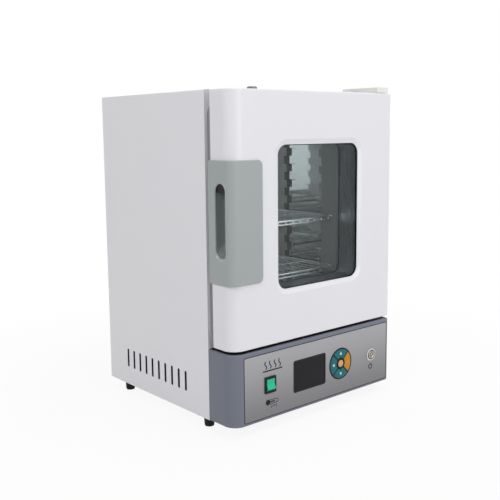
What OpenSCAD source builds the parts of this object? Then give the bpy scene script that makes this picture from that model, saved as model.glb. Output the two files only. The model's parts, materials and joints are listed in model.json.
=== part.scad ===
// Benchtop laboratory drying oven. An insulated steel cabinet stands on four feet, a thick
// side-hinged door with a dished window closes its stainless chamber, a moulded handle wraps
// the door's rounded left edge, and a control housing fills the front below the door.
// X runs to the right, Y to the back and Z up. The origin lies on the floor, midway between
// the door's front and the cabinet's back. Lengths are in millimetres.

/* [Cabinet] */
// Width of the cabinet, the door and the control housing
case_w = 420; // [410:2:460]
// Height of the casing above its feet
case_h = 595; // [590:1:640]
// Depth of the casing behind the door
case_d = 346; // [344:2:400]
// Thickness of the painted steel sheet
sheet = 1.2; // [0.8:0.1:1.5]
// Outer radius of the bend between the casing's top and sides
case_bend_r = 3; // [2:0.5:6]
// Width of the casing's folded rear flange
rear_flange_w = 14; // [12:1:18]
// Depth of the folded rim round the front frame
frame_rim = 15; // [10:1:20]
// Height of the upturned rim of the base plate
base_rim = 15; // [10:1:20]

/* [Side vents] */
// Number of vent slots on each side
vent_count = 10; // [4:1:12]
// Distance from one vent slot to the next
vent_pitch = 22.5; // [12:0.5:24]
// Width of a vent slot
vent_slot_w = 4; // [3:0.5:6]
// Length of a vent slot
vent_slot_h = 36.5; // [20:0.5:50]
// Height of the slots' lower ends above the cabinet's underside
vent_z = 38.5; // [25:0.5:60]

/* [Feet] */
// Height of a rubber foot
foot_h = 20; // [18:1:40]
// Diameter of a foot where it meets the cabinet
foot_top_d = 22; // [20:1:26]
// Diameter of a foot on the floor
foot_low_d = 18; // [16:1:20]
// Distance from the cabinet's side to the middle of a foot
foot_inset_x = 16.5; // [14:0.5:40]
// Distance from the casing's front edge to the middle of a front foot
foot_inset_front = 22; // [18:1:60]
// Distance from the cabinet's back to the middle of a rear foot
foot_inset_rear = 49; // [25:1:80]
// Shank diameter of the foot screws
foot_screw_d = 5; // [4:0.5:6]

/* [Chamber] */
// Inner width of the chamber
chamber_w = 300; // [270:2:310]
// Inner height of the chamber
chamber_h = 300; // [270:2:310]
// Inner depth of the chamber
chamber_d = 280; // [270:2:290]
// Radius of the chamber's long edges
chamber_r = 8; // [4:1:14]
// Thickness of the stainless liner
liner_t = 1; // [0.8:0.1:1.2]
// Width of the liner's flange behind the front frame
liner_flange_w = 12; // [8:1:16]
// Thickness of the insulation below the chamber
lag_low = 78; // [60:1:90]
// Gap that the insulation keeps from the sheet round it
lag_gap = 0.5; // [0.3:0.1:0.9]

/* [Shelves] */
// Distance from the chamber's mouth to the front edge of the front support strips
strip_front = 13.5; // [8:0.5:20]
// Width of a support strip
strip_w = 51; // [40:1:60]
// Clear distance between the front and rear strips
strip_gap = 100; // [80:1:110]
// Distance from the chamber's wall to the face of a strip
strip_stand = 8; // [6:0.5:12]
// Thickness of a strip
strip_t = 1; // [0.8:0.1:1.5]
// Height of the lowest shelf ledge above the chamber's floor
ledge_z = 21.5; // [20:0.5:40]
// Distance from one ledge to the next
ledge_pitch = 35; // [30:1:40]
// Height of the notch above a ledge
notch_h = 18; // [12:0.5:22]
// Depth of a notch and of its ledge
notch_d = 7.5; // [5:0.5:10]
// Reach of a ledge into the chamber
ledge_reach = 12; // [9:0.5:16]
// Ledge that carries the lower shelf, counted from 0
shelf_level_low = 0; // [0:1:2]
// Ledge that carries the upper shelf, counted from 0
shelf_level_high = 3; // [3:1:6]
// Depth of a shelf
shelf_d = 255; // [240:1:262]
// Diameter of a shelf's frame wire
shelf_frame_d = 5; // [4:0.5:6]
// Diameter of a shelf's rods
shelf_rod_d = 3; // [2:0.5:3.5]
// Spacing of a shelf's rods
rod_pitch = 20; // [14:1:30]
// Drop of the lower front wire below the frame
lip_drop = 7; // [5.5:0.5:8]
// Distance that a shelf slides while the door is shut
shelf_travel = 25; // [10:1:25]

/* [Heating] */
// Diameter of the heater tube
heater_d = 7; // [5:0.5:8]
// Distance between the heater's straight runs
heater_pitch = 70; // [50:1:76]
// Height of the bars that carry the heater
heater_bar_h = 3; // [2:0.5:4]
// Height of the perforated floor plate's top above the chamber's floor
floor_plate_z = 13; // [12:0.5:14]
// Diameter of the holes in the floor plate
floor_hole_d = 10; // [6:0.5:12]
// Distance between the holes in the floor plate
floor_hole_pitch = 32; // [24:1:40]
// Diameter of the temperature probe
probe_d = 4; // [3:0.5:6]
// Length of the probe inside the chamber
probe_l = 55; // [30:1:60]
// Height of the probe above the chamber's floor
probe_z = 92; // [80:1:100]

/* [Vent] */
// Distance of the vent tube's axis in front of the middle of the casing
vent_tube_y = 57; // [20:1:60]
// Outer diameter of the vent tube
vent_tube_d = 18; // [14:0.5:18.5]
// Wall of the vent tube
vent_tube_t = 1; // [0.8:0.1:2]
// Height of the vent cap's top above the casing
vent_cap_h = 16; // [14:0.5:22]
// Outer diameter of the vent cap
vent_cap_d = 21; // [20.5:0.5:26]

/* [Door] */
// Depth of the door
door_d = 54; // [48:0.5:58]
// Gap between the door's back and the casing
seal_gap = 15.5; // [12:0.5:20]
// Radius of the door's left front edge
door_r = 26; // [18:1:32]
// Radius of the door's right front edge
door_small_r = 5; // [4:0.5:8]
// Radius of the door's top and bottom front edges
door_edge_r = 2.5; // [2:0.5:4.5]
// Gap between the control housing and the door
door_lift = 5.5; // [5.5:0.5:12]
// Drop of the door's top below the casing's top
door_drop = 1; // [0.8:0.1:2]
// Depth of the door liner's folded rim
door_liner_rim = 12; // [8:1:20]

/* [Window] */
// Width of the window opening
window_w = 212; // [180:2:220]
// Height of the window opening
window_h = 262; // [220:2:280]
// Corner radius of the window opening
window_r = 20; // [12:1:28]
// Distance of the window's centre to the right of the door's centre
window_x = 7; // [0:1:12]
// Height of the window's centre above the door's lower edge
window_z = 228; // [205:1:240]
// Depth of the dish pressed round the window
dish_d = 3; // [2:0.5:5]
// Width of the dish's sloping part
dish_slope_w = 8; // [4:0.5:12]
// Width of the flat land at the bottom of the dish
dish_land_w = 1.5; // [1:0.5:3]
// Thickness of a pane
glass_t = 4; // [3:0.5:6]
// Overlap of the outer pane behind the door skin
glass_lap = 8; // [6:0.5:10]
// Thickness of the window seal
window_seal_t = 1; // [0.8:0.1:2]
// Width of the seal that shows inside the opening
window_seal_show = 1.5; // [1:0.25:2.5]
// Wall of the reveal between the panes
reveal_t = 1.2; // [0.8:0.1:2]

/* [Door gasket] */
// Width of the gasket
gasket_w = 22; // [14:1:26]
// Distance from the door's left edge to the gasket
gasket_left = 6; // [6:0.5:12]
// Distance from the hinge axis to the gasket's right edge
gasket_hinge_gap = 7; // [5:0.5:10]
// Distance from the door's lower edge to the gasket
gasket_low = 9; // [4:0.5:20]
// Distance from the door's upper edge to the gasket
gasket_top = 19; // [10:0.5:24]
// Gap between the gasket and the front frame
gasket_gap = 0.3; // [0.2:0.05:0.5]

/* [Handle] */
// Height of the handle
handle_h = 216.5; // [190:0.5:260]
// Height of the handle's centre above the door's lower edge
handle_z = 226; // [180:0.5:240]
// Reach of the handle across the door's front
handle_reach = 70; // [50:1:80]
// Distance that the handle stands proud of the door
handle_proud = 3; // [2:0.5:5]
// Distance that the handle reaches behind the door's back
handle_back = 4.5; // [3:0.5:7]
// Reach of the handle's lip behind the door
handle_lip = 5; // [3:0.5:5]
// Radius of the handle's free corners
handle_r = 10; // [4:0.5:12]
// Radius of the handle's vertical corner
handle_corner_r = 18; // [12:1:30]
// Width of the finger slot
grip_w = 29; // [22:0.5:32]
// Length of the finger slot
grip_h = 135; // [110:1:160]
// Height of the finger slot's centre above the handle's centre
grip_rise = 1.5; // [0:0.5:8]
// Distance from the door's front to the middle of the finger slot
grip_y = 26; // [24:0.5:28]
// Depth of the finger slot
grip_depth = 27; // [20:1:40]
// Wall of the finger cup
grip_wall = 2.5; // [2:0.5:4]

/* [Hinge] */
// Distance from the door's right side to the hinge axis
hinge_inset_x = 15; // [13:0.5:18]
// Distance from the door's front to the hinge axis
hinge_inset_y = 20; // [16:0.5:24]
// Diameter of a hinge pin
pin_d = 8; // [6:0.5:10]
// Length of a pin inside the door
pin_reach = 16; // [10:1:24]
// Outer diameter of a hinge bush
bush_d = 14; // [13:0.5:16]
// Thickness of a hinge bracket
bracket_t = 3; // [2:0.5:4]
// Clearance between the lower bracket and the control housing
bracket_gap = 1; // [0.5:0.1:1.5]
// Length of the hinge cover
hinge_cover_l = 33; // [33:1:160]
// Height of the hinge cover
hinge_cover_h = 10.5; // [8.5:0.5:14]
// Distance from the door's front to the hinge cover
hinge_cover_front = 4; // [2:0.5:6]
// Distance that the hinge cover reaches back over the casing
hinge_cover_back = 30; // [26:1:50]

/* [Control housing] */
// Height of the control housing
ctrl_h = 133.5; // [126:0.5:150]
// Wall of the control housing
ctrl_wall = 3; // [2.5:0.1:4]
// Radius of the control housing's top and bottom front edges
ctrl_edge_r = 3; // [2:0.5:5]
// Width of the control overlay
overlay_w = 387; // [370:1:390]
// Height of the control overlay
overlay_h = 118.5; // [105:0.5:120]
// Thickness of the control overlay
overlay_t = 1.2; // [1:0.1:1.5]
// Distance of the overlay's centre to the right of the cabinet's centre
overlay_x = 9.5; // [4:0.5:9.5]
// Height of the overlay's centre above the cabinet's underside
overlay_z = 65.5; // [62:0.5:68]
// Corner radius of the overlay
overlay_r = 3; // [2:0.5:8]
// Depth of the recess that the overlay lies in
overlay_recess = 1; // [0.8:0.1:1.3]
// Width of the dark trim round the overlay
overlay_trim_w = 1.5; // [1:0.25:1.75]

/* [Controls] */
// Distance of the rocker switch left of the cabinet's centre
rocker_x = 123.5; // [110:0.5:150]
// Width of the rocker switch's frame
rocker_frame_w = 27; // [26:0.5:30]
// Height of the rocker switch's frame
rocker_frame_h = 31; // [30:0.5:34]
// Angle that the rocker tips from one side to the other
rocker_throw = 20; // [12:1:22]
// Distance of the display left of the cabinet's centre
display_x = 21.5; // [10:0.5:30]
// Width of the display
display_w = 85; // [70:1:95]
// Height of the display
display_h = 61; // [50:1:70]
// Distance of the keypad right of the cabinet's centre
keypad_x = 64; // [60:0.5:80]
// Diameter of the round keypad
keypad_d = 63; // [58:0.5:66]
// Diameter of the well for the centre key
hub_well_d = 19; // [14:0.5:22]
// Width of the webs between the keys
key_web = 1.6; // [1.2:0.1:3]
// Travel of a key
key_travel = 0.8; // [0.5:0.1:1]
// Distance of the power button right of the cabinet's centre
button_x = 154.5; // [140:0.5:165]
// Diameter of the power button's head
button_head_d = 25.6; // [24.5:0.1:28]
// Diameter of the power button's barrel
button_barrel_d = 22; // [19:0.5:23]
// Diameter of the moving cap
button_cap_d = 16.5; // [12:0.5:17]
// Travel of the power button
button_travel = 2; // [1:0.25:3]

/* [Fits] */
// Gap between fixed parts that nest in one another
fit = 0.3; // [0.2:0.05:0.45]
// Gap that a moving part keeps all round
run = 0.35; // [0.25:0.05:0.45]
// Radial clearance of pins, shafts and threads
pin_fit = 0.05; // [0.02:0.01:0.09]

/* [Hidden] */
$fn = 64;

// Reach of a cutter past the face that it opens
over = 1;
// Least radius of a round edge
min_r = 0.5;
// Colours
paint_white = [0.86, 0.86, 0.88];
stainless = [0.66, 0.67, 0.69];
zinc = [0.74, 0.75, 0.77];
wool = [0.86, 0.80, 0.62];
black = [0.10, 0.10, 0.11];

// Planes across the depth
overall_d = door_d + seal_gap + case_d;
y_door = -overall_d / 2;
y_door_back = y_door + door_d;
y_case = y_door_back + seal_gap;
y_rear = overall_d / 2;
y_flange = y_rear - 2 * sheet;
y_mouth = y_case + sheet;
y_back = y_mouth + chamber_d;

// Planes up the height
z_base = foot_h;
z_top = z_base + case_h;
z_ctrl = z_base + ctrl_h;
z_door = z_ctrl + door_lift;
door_h = case_h - ctrl_h - door_lift - door_drop;
z_bracket = z_ctrl + bracket_gap;
z_divider = z_bracket + bracket_t;
z_floor = z_divider + sheet + lag_low + liner_t;
z_ceiling = z_floor + chamber_h;
z_mid = (z_floor + z_ceiling) / 2;
x_inside = case_w / 2 - sheet;

// Feet and their screws
foot_x = case_w / 2 - foot_inset_x;
foot_y = [y_case + foot_inset_front, y_rear - foot_inset_rear];
foot_web = 5;
foot_head_d = 9;
foot_head_h = 3.5;
foot_nut_d = 9.2;
foot_nut_h = 4;

// Cooling slots in the base plate
base_slot_w = 4;
base_slot_h = 46;
base_slot_pitch = 24;
base_slot_row = 68;

// Screws of the rear cover and the housing
screw_d = 4;
screw_head_d = 8;
screw_head_h = 2.5;
screw_l = 9;
screw_past = 3;
rear_screw_rows = 4;
rear_screw_x = x_inside - rear_flange_w / 2;
rear_screw_low = z_base + 30;
rear_screw_step = (z_top - 30 - rear_screw_low) / (rear_screw_rows - 1);
boss_r = 5;
boss_l = 22;
boss_x = case_w / 2 - ctrl_wall - boss_r + 1;
boss_z = [z_base + 22, z_ctrl - 22];

// Shelves, their strips and the heater
x_strip = chamber_w / 2 - strip_stand;
y_strip_front = y_mouth + strip_front;
y_strip_rear = y_strip_front + strip_w + strip_gap;
ledge_t = strip_t;
strip_foot_w = 9;
strip_end_gap = chamber_r + fit;
ledge_count = floor((chamber_h - ledge_z - notch_h - strip_end_gap) / ledge_pitch) + 1;
shelf_w = 2 * (x_strip - strip_t - 2);
y_shelf = y_strip_front + 1;
shelf_r = 12;
lip_d = 3.5;
rod_count = floor((shelf_w - 2 * shelf_frame_d - rod_pitch / 2) / rod_pitch);
floor_plate_t = 1;
floor_plate_w = 2 * (x_strip - strip_t - 1.5);
floor_plate_inset = 6;
floor_plate_edge = 20;
heater_z = z_floor + heater_bar_h + heater_d / 2;
heater_turn = heater_pitch / 2;
heater_inset = 10;
y_heater_front = y_mouth + heater_inset + heater_d / 2 + heater_turn;
y_heater_rear = y_back - heater_inset - heater_d / 2 - heater_turn;
heater_end = 22;
heater_bar_w = 10;
heater_bar_inset = 15;

// Wall pieces at the chamber's back
gland_d = 12;
gland_t = 3;
probe_tail = 18;
cutout_d = 16;
cutout_t = 8;
cutout_z = z_ceiling - 60;

// Vent
y_vent = (y_case + y_rear) / 2 - vent_tube_y;
vent_collar_t = 2;
vent_hole_d = vent_tube_d + 20;
vent_collar_d = vent_hole_d + 8;
vent_flange_d = vent_tube_d + 10;
vent_flange_t = 1;
vent_cap_top_t = 2;
vent_port_h = 5;

// Door and window
door_in_w = case_w - 2 * sheet;
z_window = z_door + window_z;
y_land = y_door + dish_d + sheet;
y_pane = y_land + window_seal_t;
y_reveal = y_pane + glass_t;
door_liner_t = 1;
y_inner_pane = y_door_back - door_liner_t - glass_t;
pane_w = window_w + 2 * glass_lap;
pane_h = window_h + 2 * glass_lap;
pane_r = window_r + glass_lap;
inner_lap = 6;
pin_x = case_w / 2 - hinge_inset_x;
pin_y = y_door + hinge_inset_y;
bush_l = pin_reach + 3;
collar_d = bush_d + 3;
low_collar_h = door_lift - bracket_gap - bracket_t - run / 2;
top_collar_h = door_drop - run / 2;
gasket_x0 = -case_w / 2 + gasket_left;
gasket_x1 = pin_x - gasket_hinge_gap;
gasket_z0 = z_door + gasket_low;
gasket_z1 = z_door + door_h - gasket_top;
gasket_r = 24;
gasket_l = seal_gap - gasket_gap;

// Handle
z_handle = z_door + handle_z;
z_grip = z_handle + grip_rise;
handle_x = -case_w / 2 - handle_proud;
grip_x = handle_x + grip_depth;

// Hinge brackets and cover
cover_x1 = case_w / 2 - 5;
cover_x0 = cover_x1 - hinge_cover_l;
cover_y0 = y_door + hinge_cover_front;
cover_d = y_case + hinge_cover_back - cover_y0;
bracket_x0 = cover_x0 + 6;
bracket_x1 = cover_x1 - 4;
bracket_y0 = pin_y - 9;
bracket_y1 = y_case + hinge_cover_back - 5;
low_bracket_x0 = pin_x - 32;
low_bracket_x1 = pin_x + 8;
low_bracket_y1 = y_case + 30;
hinge_screw_d = 5;
hinge_head_d = 9;
hinge_head_h = 3;
pin_head_d = 12;
pin_head_h = 2;

// Control face
y_seat = y_door + overlay_recess;
y_face = y_seat - overlay_t;
y_inner = y_door + ctrl_wall;
z_row = z_base + overlay_z;
trim_r = overlay_r + overlay_trim_w;
lens_w = display_w - 2 * fit;
lens_h = display_h - 2 * fit;
lens_r = 3;
display_lap = 3;
module_t = 6;
module_margin = 3;
board_w = 150;
board_h = 92;
board_t = 1.6;
board_x = 22;
standoff_l = 14;
standoff_r = 3.5;
board_hole_inset = 5;
capacitor_d = 12;
capacitor_h = 14;
terminal_size = [30, 11, 9];
board_relay_size = [19, 15, 15];
chip_size = [14, 2, 14];

// Keypad
keypad_rim = 0.6;
keypad_shoulder = 3;
keypad_body_t = 9;
key_proud = 1;
well_floor = y_seat + 3;
key_back = well_floor - key_travel - 0.2;
key_r_out = keypad_d / 2 - 1.4;
key_r_in = hub_well_d / 2 + key_web;

// Rocker switch
rocker_flange_t = 2;
rocker_body_w = 22;
rocker_body_h = 28;
rocker_body_l = 20;
rocker_pivot = 5;
rocker_r = 12.6;
rocker_cap_w = 18.4;
rocker_front = 7.5;
rocker_tail = 3;
rocker_axle_d = 3;

// Power button
button_head_t = 2.2;
button_barrel_l = 30;
button_well = 9;
button_proud = 0.8;
nut_af_d = 29;
nut_t = 4;

// Electronics bay
bay_side = 35;
bay_edge = 20;
bay_r = 10;
psu_size = [110, 78, 38];
psu_inset = 110;
psu_at = [-20, y_case + psu_inset];
psu_slots = 4;
psu_slot_pitch = 11;
psu_slot_w = 4;
psu_slot_l = 50;
relay_size = [46, 60, 24];
relay_inset = 120;
relay_at = [110, y_case + relay_inset];
sink_w = 64;
sink_l = 76;
sink_t = 4;
fin_count = 8;
fin_t = 2;
fin_h = 15;
inlet_x = -120;
inlet_z = z_base + 66;
inlet_w = 28;
inlet_h = 48;
inlet_l = 26;
inlet_flange = 4;
inlet_flange_t = 3;
louvre_count = 12;
louvre_pitch = 14;
louvre_w = 4;
louvre_h = 40;
louvre_x = 60;

// ---- Shapes shared by several parts ----

// Stands a shape drawn in X and Z upright and gives it a depth along Y from y
module front_extrude(y, depth) {
    translate([0, y + depth, 0]) rotate([90, 0, 0]) linear_extrude(depth) children();
}

// Stands a shape drawn in Y and Z upright and gives it a length along X from x
module side_extrude(x, length) {
    translate([x, 0, 0]) rotate([90, 0, 90]) linear_extrude(length) children();
}

// Rectangle with round corners about the origin
module rounded_rect(w, h, r) {
    square([w - 2 * r, h], center = true);
    square([w, h - 2 * r], center = true);
    for (sx = [-1, 1], sy = [-1, 1])
        translate([sx * (w / 2 - r), sy * (h / 2 - r)]) circle(r);
}

// Upright slot with round ends about the origin
module slot(w, h) {
    square([w, h - w], center = true);
    for (s = [-1, 1]) translate([0, s * (h - w) / 2]) circle(w / 2);
}

// Outline of the casing seen from the front, moved in by inset and open below z_low
module casing_outline(inset, z_low) {
    w = case_w - 2 * inset;
    r = max(case_bend_r - inset, min_r);
    z_high = z_top - inset;
    translate([-w / 2, z_low]) square([w, z_high - r - z_low]);
    translate([-w / 2 + r, z_low]) square([w - 2 * r, z_high - z_low]);
    for (s = [-1, 1]) translate([s * (w / 2 - r), z_high - r]) circle(r);
}

// Plan outline with a large left and a small right front corner, its front face on Y = 0
module front_plan(w, d, r_left, r_right) {
    translate([-w / 2, r_left]) square([w - r_right, d - r_left]);
    translate([-w / 2 + r_left, 0]) square([w - r_left - r_right, r_left + over]);
    translate([w / 2 - r_right - over, r_right]) square([r_right + over, d - r_right]);
    translate([-w / 2 + r_left, r_left]) circle(r_left);
    translate([w / 2 - r_right, r_right]) circle(r_right);
}

// Side outline with round corners at its outer side, which lies on X = 0
module side_plan(d, h, r) {
    translate([r, 0]) square([d - r, h]);
    translate([0, r]) square([r, h - 2 * r]);
    intersection() {
        square([r, h]);
        for (z = [r, h - r]) translate([r, z]) circle(r);
    }
}

// The same outline as a wall of thickness t, open at its inner side, or solid with t = 0
module side_wall(d, h, r, t) {
    difference() {
        side_plan(d, h, r);
        if (t > 0) translate([t, t]) side_plan(d, h - 2 * t, max(r - t, min_r));
    }
}

// Box front with its face on Y = 0. Its edges are round and follow the plan's round corners.
// It is a shell with walls of thickness t, open at the back, or solid with t = 0.
module front_block(w, d, h, r_left, r_right, r_edge, t = 0) {
    r = min(r_edge, r_right - min_r);
    side_extrude(r_left - w / 2, w - r_left - r_right) side_wall(d, h, r, t);
    front_extrude(r_left, d - r_left) translate([-w / 2, 0]) side_wall(r_left, h, r, t);
    front_extrude(r_right, d - r_right)
        translate([w / 2, 0]) mirror([1, 0]) side_wall(r_right, h, r, t);
    translate([r_left - w / 2, r_left, 0]) rotate([0, 0, 180]) front_corner(h, r_left, r, t);
    translate([w / 2 - r_right, r_right, 0]) rotate([0, 0, 270]) front_corner(h, r_right, r, t);
}

// Quarter of a drum of radius r with round upper and lower edges
module front_corner(h, r, r_edge, t) {
    rotate_extrude(angle = 90) translate([r, 0]) mirror([1, 0]) side_wall(r, h, r_edge, t);
}

// Dish that narrows over its depth to w by h with corner radius r, open past Y = 0
module dish(w, h, r, slope, depth) {
    flare = slope * (depth + over) / depth;
    run_x = w / 2 - r;
    run_z = h / 2 - r;
    translate([0, 0, -run_z]) linear_extrude(2 * run_z)
        polygon([[-w / 2 - flare, -over], [w / 2 + flare, -over], [w / 2, depth], [-w / 2, depth]]);
    side_extrude(-run_x, 2 * run_x)
        polygon([[-over, -h / 2 - flare], [-over, h / 2 + flare], [depth, h / 2], [depth, -h / 2]]);
    for (sx = [-1, 1], sz = [-1, 1])
        translate([sx * run_x, -over, sz * run_z]) rotate([-90, 0, 0])
            cylinder(h = depth + over, r1 = r + flare, r2 = r);
}

// Round bar along Y from y0 to y1
module bar_y(x, z, y0, y1, d) {
    translate([x, y0, z]) rotate([-90, 0, 0]) cylinder(h = y1 - y0, d = d);
}

// Round bar along X about x = 0
module bar_x(y, z, length, d) {
    translate([-length / 2, y, z]) rotate([0, 90, 0]) cylinder(h = length, d = d);
}

// Pan-head screw along +Z, its head below the origin
module screw(d, head_d, head_h, length) {
    translate([0, 0, -head_h]) cylinder(h = head_h, d1 = head_d * 0.82, d2 = head_d);
    cylinder(h = length, d = d);
}

module at_feet() {
    for (s = [-1, 1], y = foot_y) translate([s * foot_x, y, 0]) children();
}

module at_rear_screws() {
    for (s = [-1, 1], i = [0 : rear_screw_rows - 1])
        translate([s * rear_screw_x, 0, rear_screw_low + i * rear_screw_step]) children();
}

module at_housing_screws() {
    for (s = [-1, 1], z = boss_z) translate([s * boss_x, y_case, z]) children();
}

module at_top_hinge_screws() {
    for (y = [8, 19]) translate([(bracket_x0 + bracket_x1) / 2, y_case + y, z_top]) children();
}

module at_low_hinge_screws() {
    for (x = [low_bracket_x0 + 9, low_bracket_x1 - 9])
        translate([x, y_mouth + 18, z_bracket]) children();
}

// ---- Cabinet ----

module outer_casing() {
    color(paint_white) difference() {
        union() {
            front_extrude(y_case, case_d) difference() {
                casing_outline(0, z_base);
                casing_outline(sheet, z_base - over);
            }
            front_extrude(y_flange, sheet) difference() {
                casing_outline(0, z_base);
                casing_outline(sheet + rear_flange_w, z_base - over);
            }
        }
        side_vents();
        translate([0, y_vent, z_top - sheet - over])
            cylinder(h = sheet + 2 * over, d = vent_hole_d);
        at_rear_screws() bar_y(0, 0, y_flange - over, y_rear + over, screw_d + 2 * pin_fit);
        at_top_hinge_screws() translate([0, 0, -sheet - over])
            cylinder(h = sheet + 2 * over, d = hinge_screw_d + 2 * pin_fit);
    }
}

module side_vents() {
    y_mid = (y_case + y_rear) / 2;
    for (i = [0 : vent_count - 1])
        side_extrude(-case_w / 2 - over, case_w + 2 * over)
            translate([y_mid + (i - (vent_count - 1) / 2) * vent_pitch, z_base + vent_z + vent_slot_h / 2])
                slot(vent_slot_w, vent_slot_h);
}

// Painted frame behind the door: its face carries the gasket and its rim folds to the back
module front_frame() {
    low = z_base + sheet + fit;
    color(paint_white) difference() {
        union() {
            front_extrude(y_case, sheet) casing_outline(sheet + fit, low);
            front_extrude(y_case, frame_rim) difference() {
                casing_outline(sheet + fit, z_divider + sheet + fit);
                casing_outline(2 * sheet + fit, z_divider);
            }
        }
        front_extrude(y_case - over, sheet + 2 * over)
            translate([0, z_mid]) rounded_rect(chamber_w, chamber_h, chamber_r);
        front_extrude(y_case - over, sheet + 2 * over)
            translate([0, (low + z_ctrl) / 2]) rounded_rect(case_w - 2 * bay_side, ctrl_h - 2 * bay_edge, bay_r);
        front_extrude(y_case - over, sheet + 2 * over)
            translate([low_bracket_x0 - fit, z_bracket - fit])
                square([low_bracket_x1 - low_bracket_x0 + 2 * fit, bracket_t + 2 * fit]);
        at_housing_screws() bar_y(0, 0, -over, sheet + over, screw_d + 2 * pin_fit);
    }
}

// Tray that closes the cabinet below and carries the feet
module base_plate() {
    w = 2 * (x_inside - fit);
    d = y_flange - y_mouth - 2 * fit;
    y0 = y_mouth + fit;
    color(zinc) difference() {
        translate([-w / 2, y0, z_base]) cube([w, d, base_rim]);
        translate([-w / 2 + sheet, y0 + sheet, z_base + sheet])
            cube([w - 2 * sheet, d - 2 * sheet, base_rim]);
        at_feet() translate([0, 0, z_base - over])
            cylinder(h = sheet + 2 * over, d = foot_screw_d + 2 * pin_fit);
        for (i = [-5 : 5], s = [-1, 1])
            translate([i * base_slot_pitch, y0 + d / 2 + s * base_slot_row, z_base - over])
                linear_extrude(sheet + 2 * over) slot(base_slot_w, base_slot_h);
    }
}

// Back cover with cooling slots over the electronics bay
module rear_cover() {
    color(zinc) difference() {
        front_extrude(y_rear - sheet, sheet) casing_outline(sheet + fit, z_base);
        for (i = [0 : louvre_count - 1])
            front_extrude(y_rear - sheet - over, sheet + 2 * over)
                translate([louvre_x + (i - (louvre_count - 1) / 2) * louvre_pitch, inlet_z])
                    slot(louvre_w, louvre_h);
        front_extrude(y_rear - sheet - over, sheet + 2 * over)
            translate([inlet_x, inlet_z]) rounded_rect(inlet_w + 2 * fit, inlet_h + 2 * fit, 2);
        at_rear_screws() bar_y(0, 0, y_flange - over, y_rear + over, screw_d + 2 * pin_fit);
    }
}

module rear_cover_screws() {
    color(zinc) at_rear_screws() translate([0, y_rear, 0]) rotate([90, 0, 0])
        screw(screw_d, screw_head_d, screw_head_h, 2 * sheet + screw_past);
}

// Plate between the electronics bay and the chamber's insulation
module bay_divider() {
    w = 2 * (x_inside - sheet - 2 * fit);
    d = y_flange - y_mouth - 2 * fit;
    color(zinc) difference() {
        union() {
            translate([-w / 2, y_mouth + fit, z_divider]) cube([w, d, sheet]);
            for (x = [-w / 2, w / 2 - sheet])
                translate([x, y_mouth + fit, z_divider - base_rim]) cube([sheet, d, base_rim + sheet / 2]);
        }
        at_low_hinge_screws() translate([0, 0, bracket_t - over])
            cylinder(h = sheet + 2 * over, d = hinge_screw_d + 2 * pin_fit);
    }
}

module feet() {
    color(black) at_feet() difference() {
        cylinder(h = foot_h, d1 = foot_low_d, d2 = foot_top_d);
        translate([0, 0, -over]) cylinder(h = foot_h - foot_web + over, d = foot_head_d + 1);
        cylinder(h = foot_h + over, d = foot_screw_d + 2 * pin_fit);
    }
}

module foot_fasteners() {
    top = sheet + foot_nut_h + 1;
    color(zinc) at_feet() {
        translate([0, 0, foot_h - foot_web])
            screw(foot_screw_d, foot_head_d, foot_head_h, foot_web + top);
        translate([0, 0, foot_h + sheet]) difference() {
            cylinder(h = foot_nut_h, d = foot_nut_d, $fn = 6);
            translate([0, 0, -over])
                cylinder(h = foot_nut_h + 2 * over, d = foot_screw_d + 2 * pin_fit);
        }
    }
}

// ---- Chamber ----

// Stainless box, open at the front, with a flange that lies behind the front frame
module chamber_liner() {
    w = chamber_w + 2 * liner_t;
    h = chamber_h + 2 * liner_t;
    r = chamber_r + liner_t;
    color(stainless) difference() {
        union() {
            front_extrude(y_mouth, chamber_d + liner_t) translate([0, z_mid]) rounded_rect(w, h, r);
            front_extrude(y_mouth, liner_t) translate([0, z_mid])
                rounded_rect(w + 2 * liner_flange_w, h + 2 * liner_flange_w, r);
        }
        front_extrude(y_mouth - over, chamber_d + over)
            translate([0, z_mid]) rounded_rect(chamber_w, chamber_h, chamber_r);
        translate([0, y_vent, z_ceiling - over])
            cylinder(h = liner_t + 2 * over, d = vent_tube_d + 2 * pin_fit);
        bar_y(0, z_floor + probe_z, y_back - over, y_back + liner_t + over, probe_d + 2 * pin_fit);
        for (s = [-1, 1])
            bar_y(s * 3 * heater_turn, heater_z, y_back - over, y_back + liner_t + over,
                heater_d + 2 * pin_fit);
    }
}

// Slab of wool between the sheet of the casing and the liner
module slab(x0, x1, y0, y1, z0, z1) {
    translate([x0, y0, z0]) cube([x1 - x0, y1 - y0, z1 - z0]);
}

lag_y0 = y_mouth + liner_t + lag_gap;
lag_y1 = y_flange - screw_past - lag_gap;
lag_z0 = z_divider + sheet + lag_gap;
lag_z1 = z_top - sheet - fit - sheet - lag_gap;
lag_x_in = chamber_w / 2 + liner_t + lag_gap;
lag_x_out = x_inside - fit - sheet - lag_gap;

module insulation_left() {
    color(wool) slab(-lag_x_out, -lag_x_in, lag_y0, lag_y1, lag_z0, lag_z1);
}

module insulation_right() {
    color(wool) slab(lag_x_in, lag_x_out, lag_y0, lag_y1, lag_z0, lag_z1);
}

module insulation_top() {
    x = lag_x_in - lag_gap;
    color(wool) difference() {
        slab(-x, x, lag_y0, lag_y1, z_ceiling + liner_t + lag_gap, lag_z1);
        translate([0, y_vent, z_ceiling]) cylinder(h = case_h, d = vent_tube_d + 2 * lag_gap);
    }
}

module insulation_bottom() {
    x = lag_x_in - lag_gap;
    color(wool) slab(-x, x, lag_y0, lag_y1, lag_z0, z_floor - liner_t - lag_gap);
}

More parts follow.
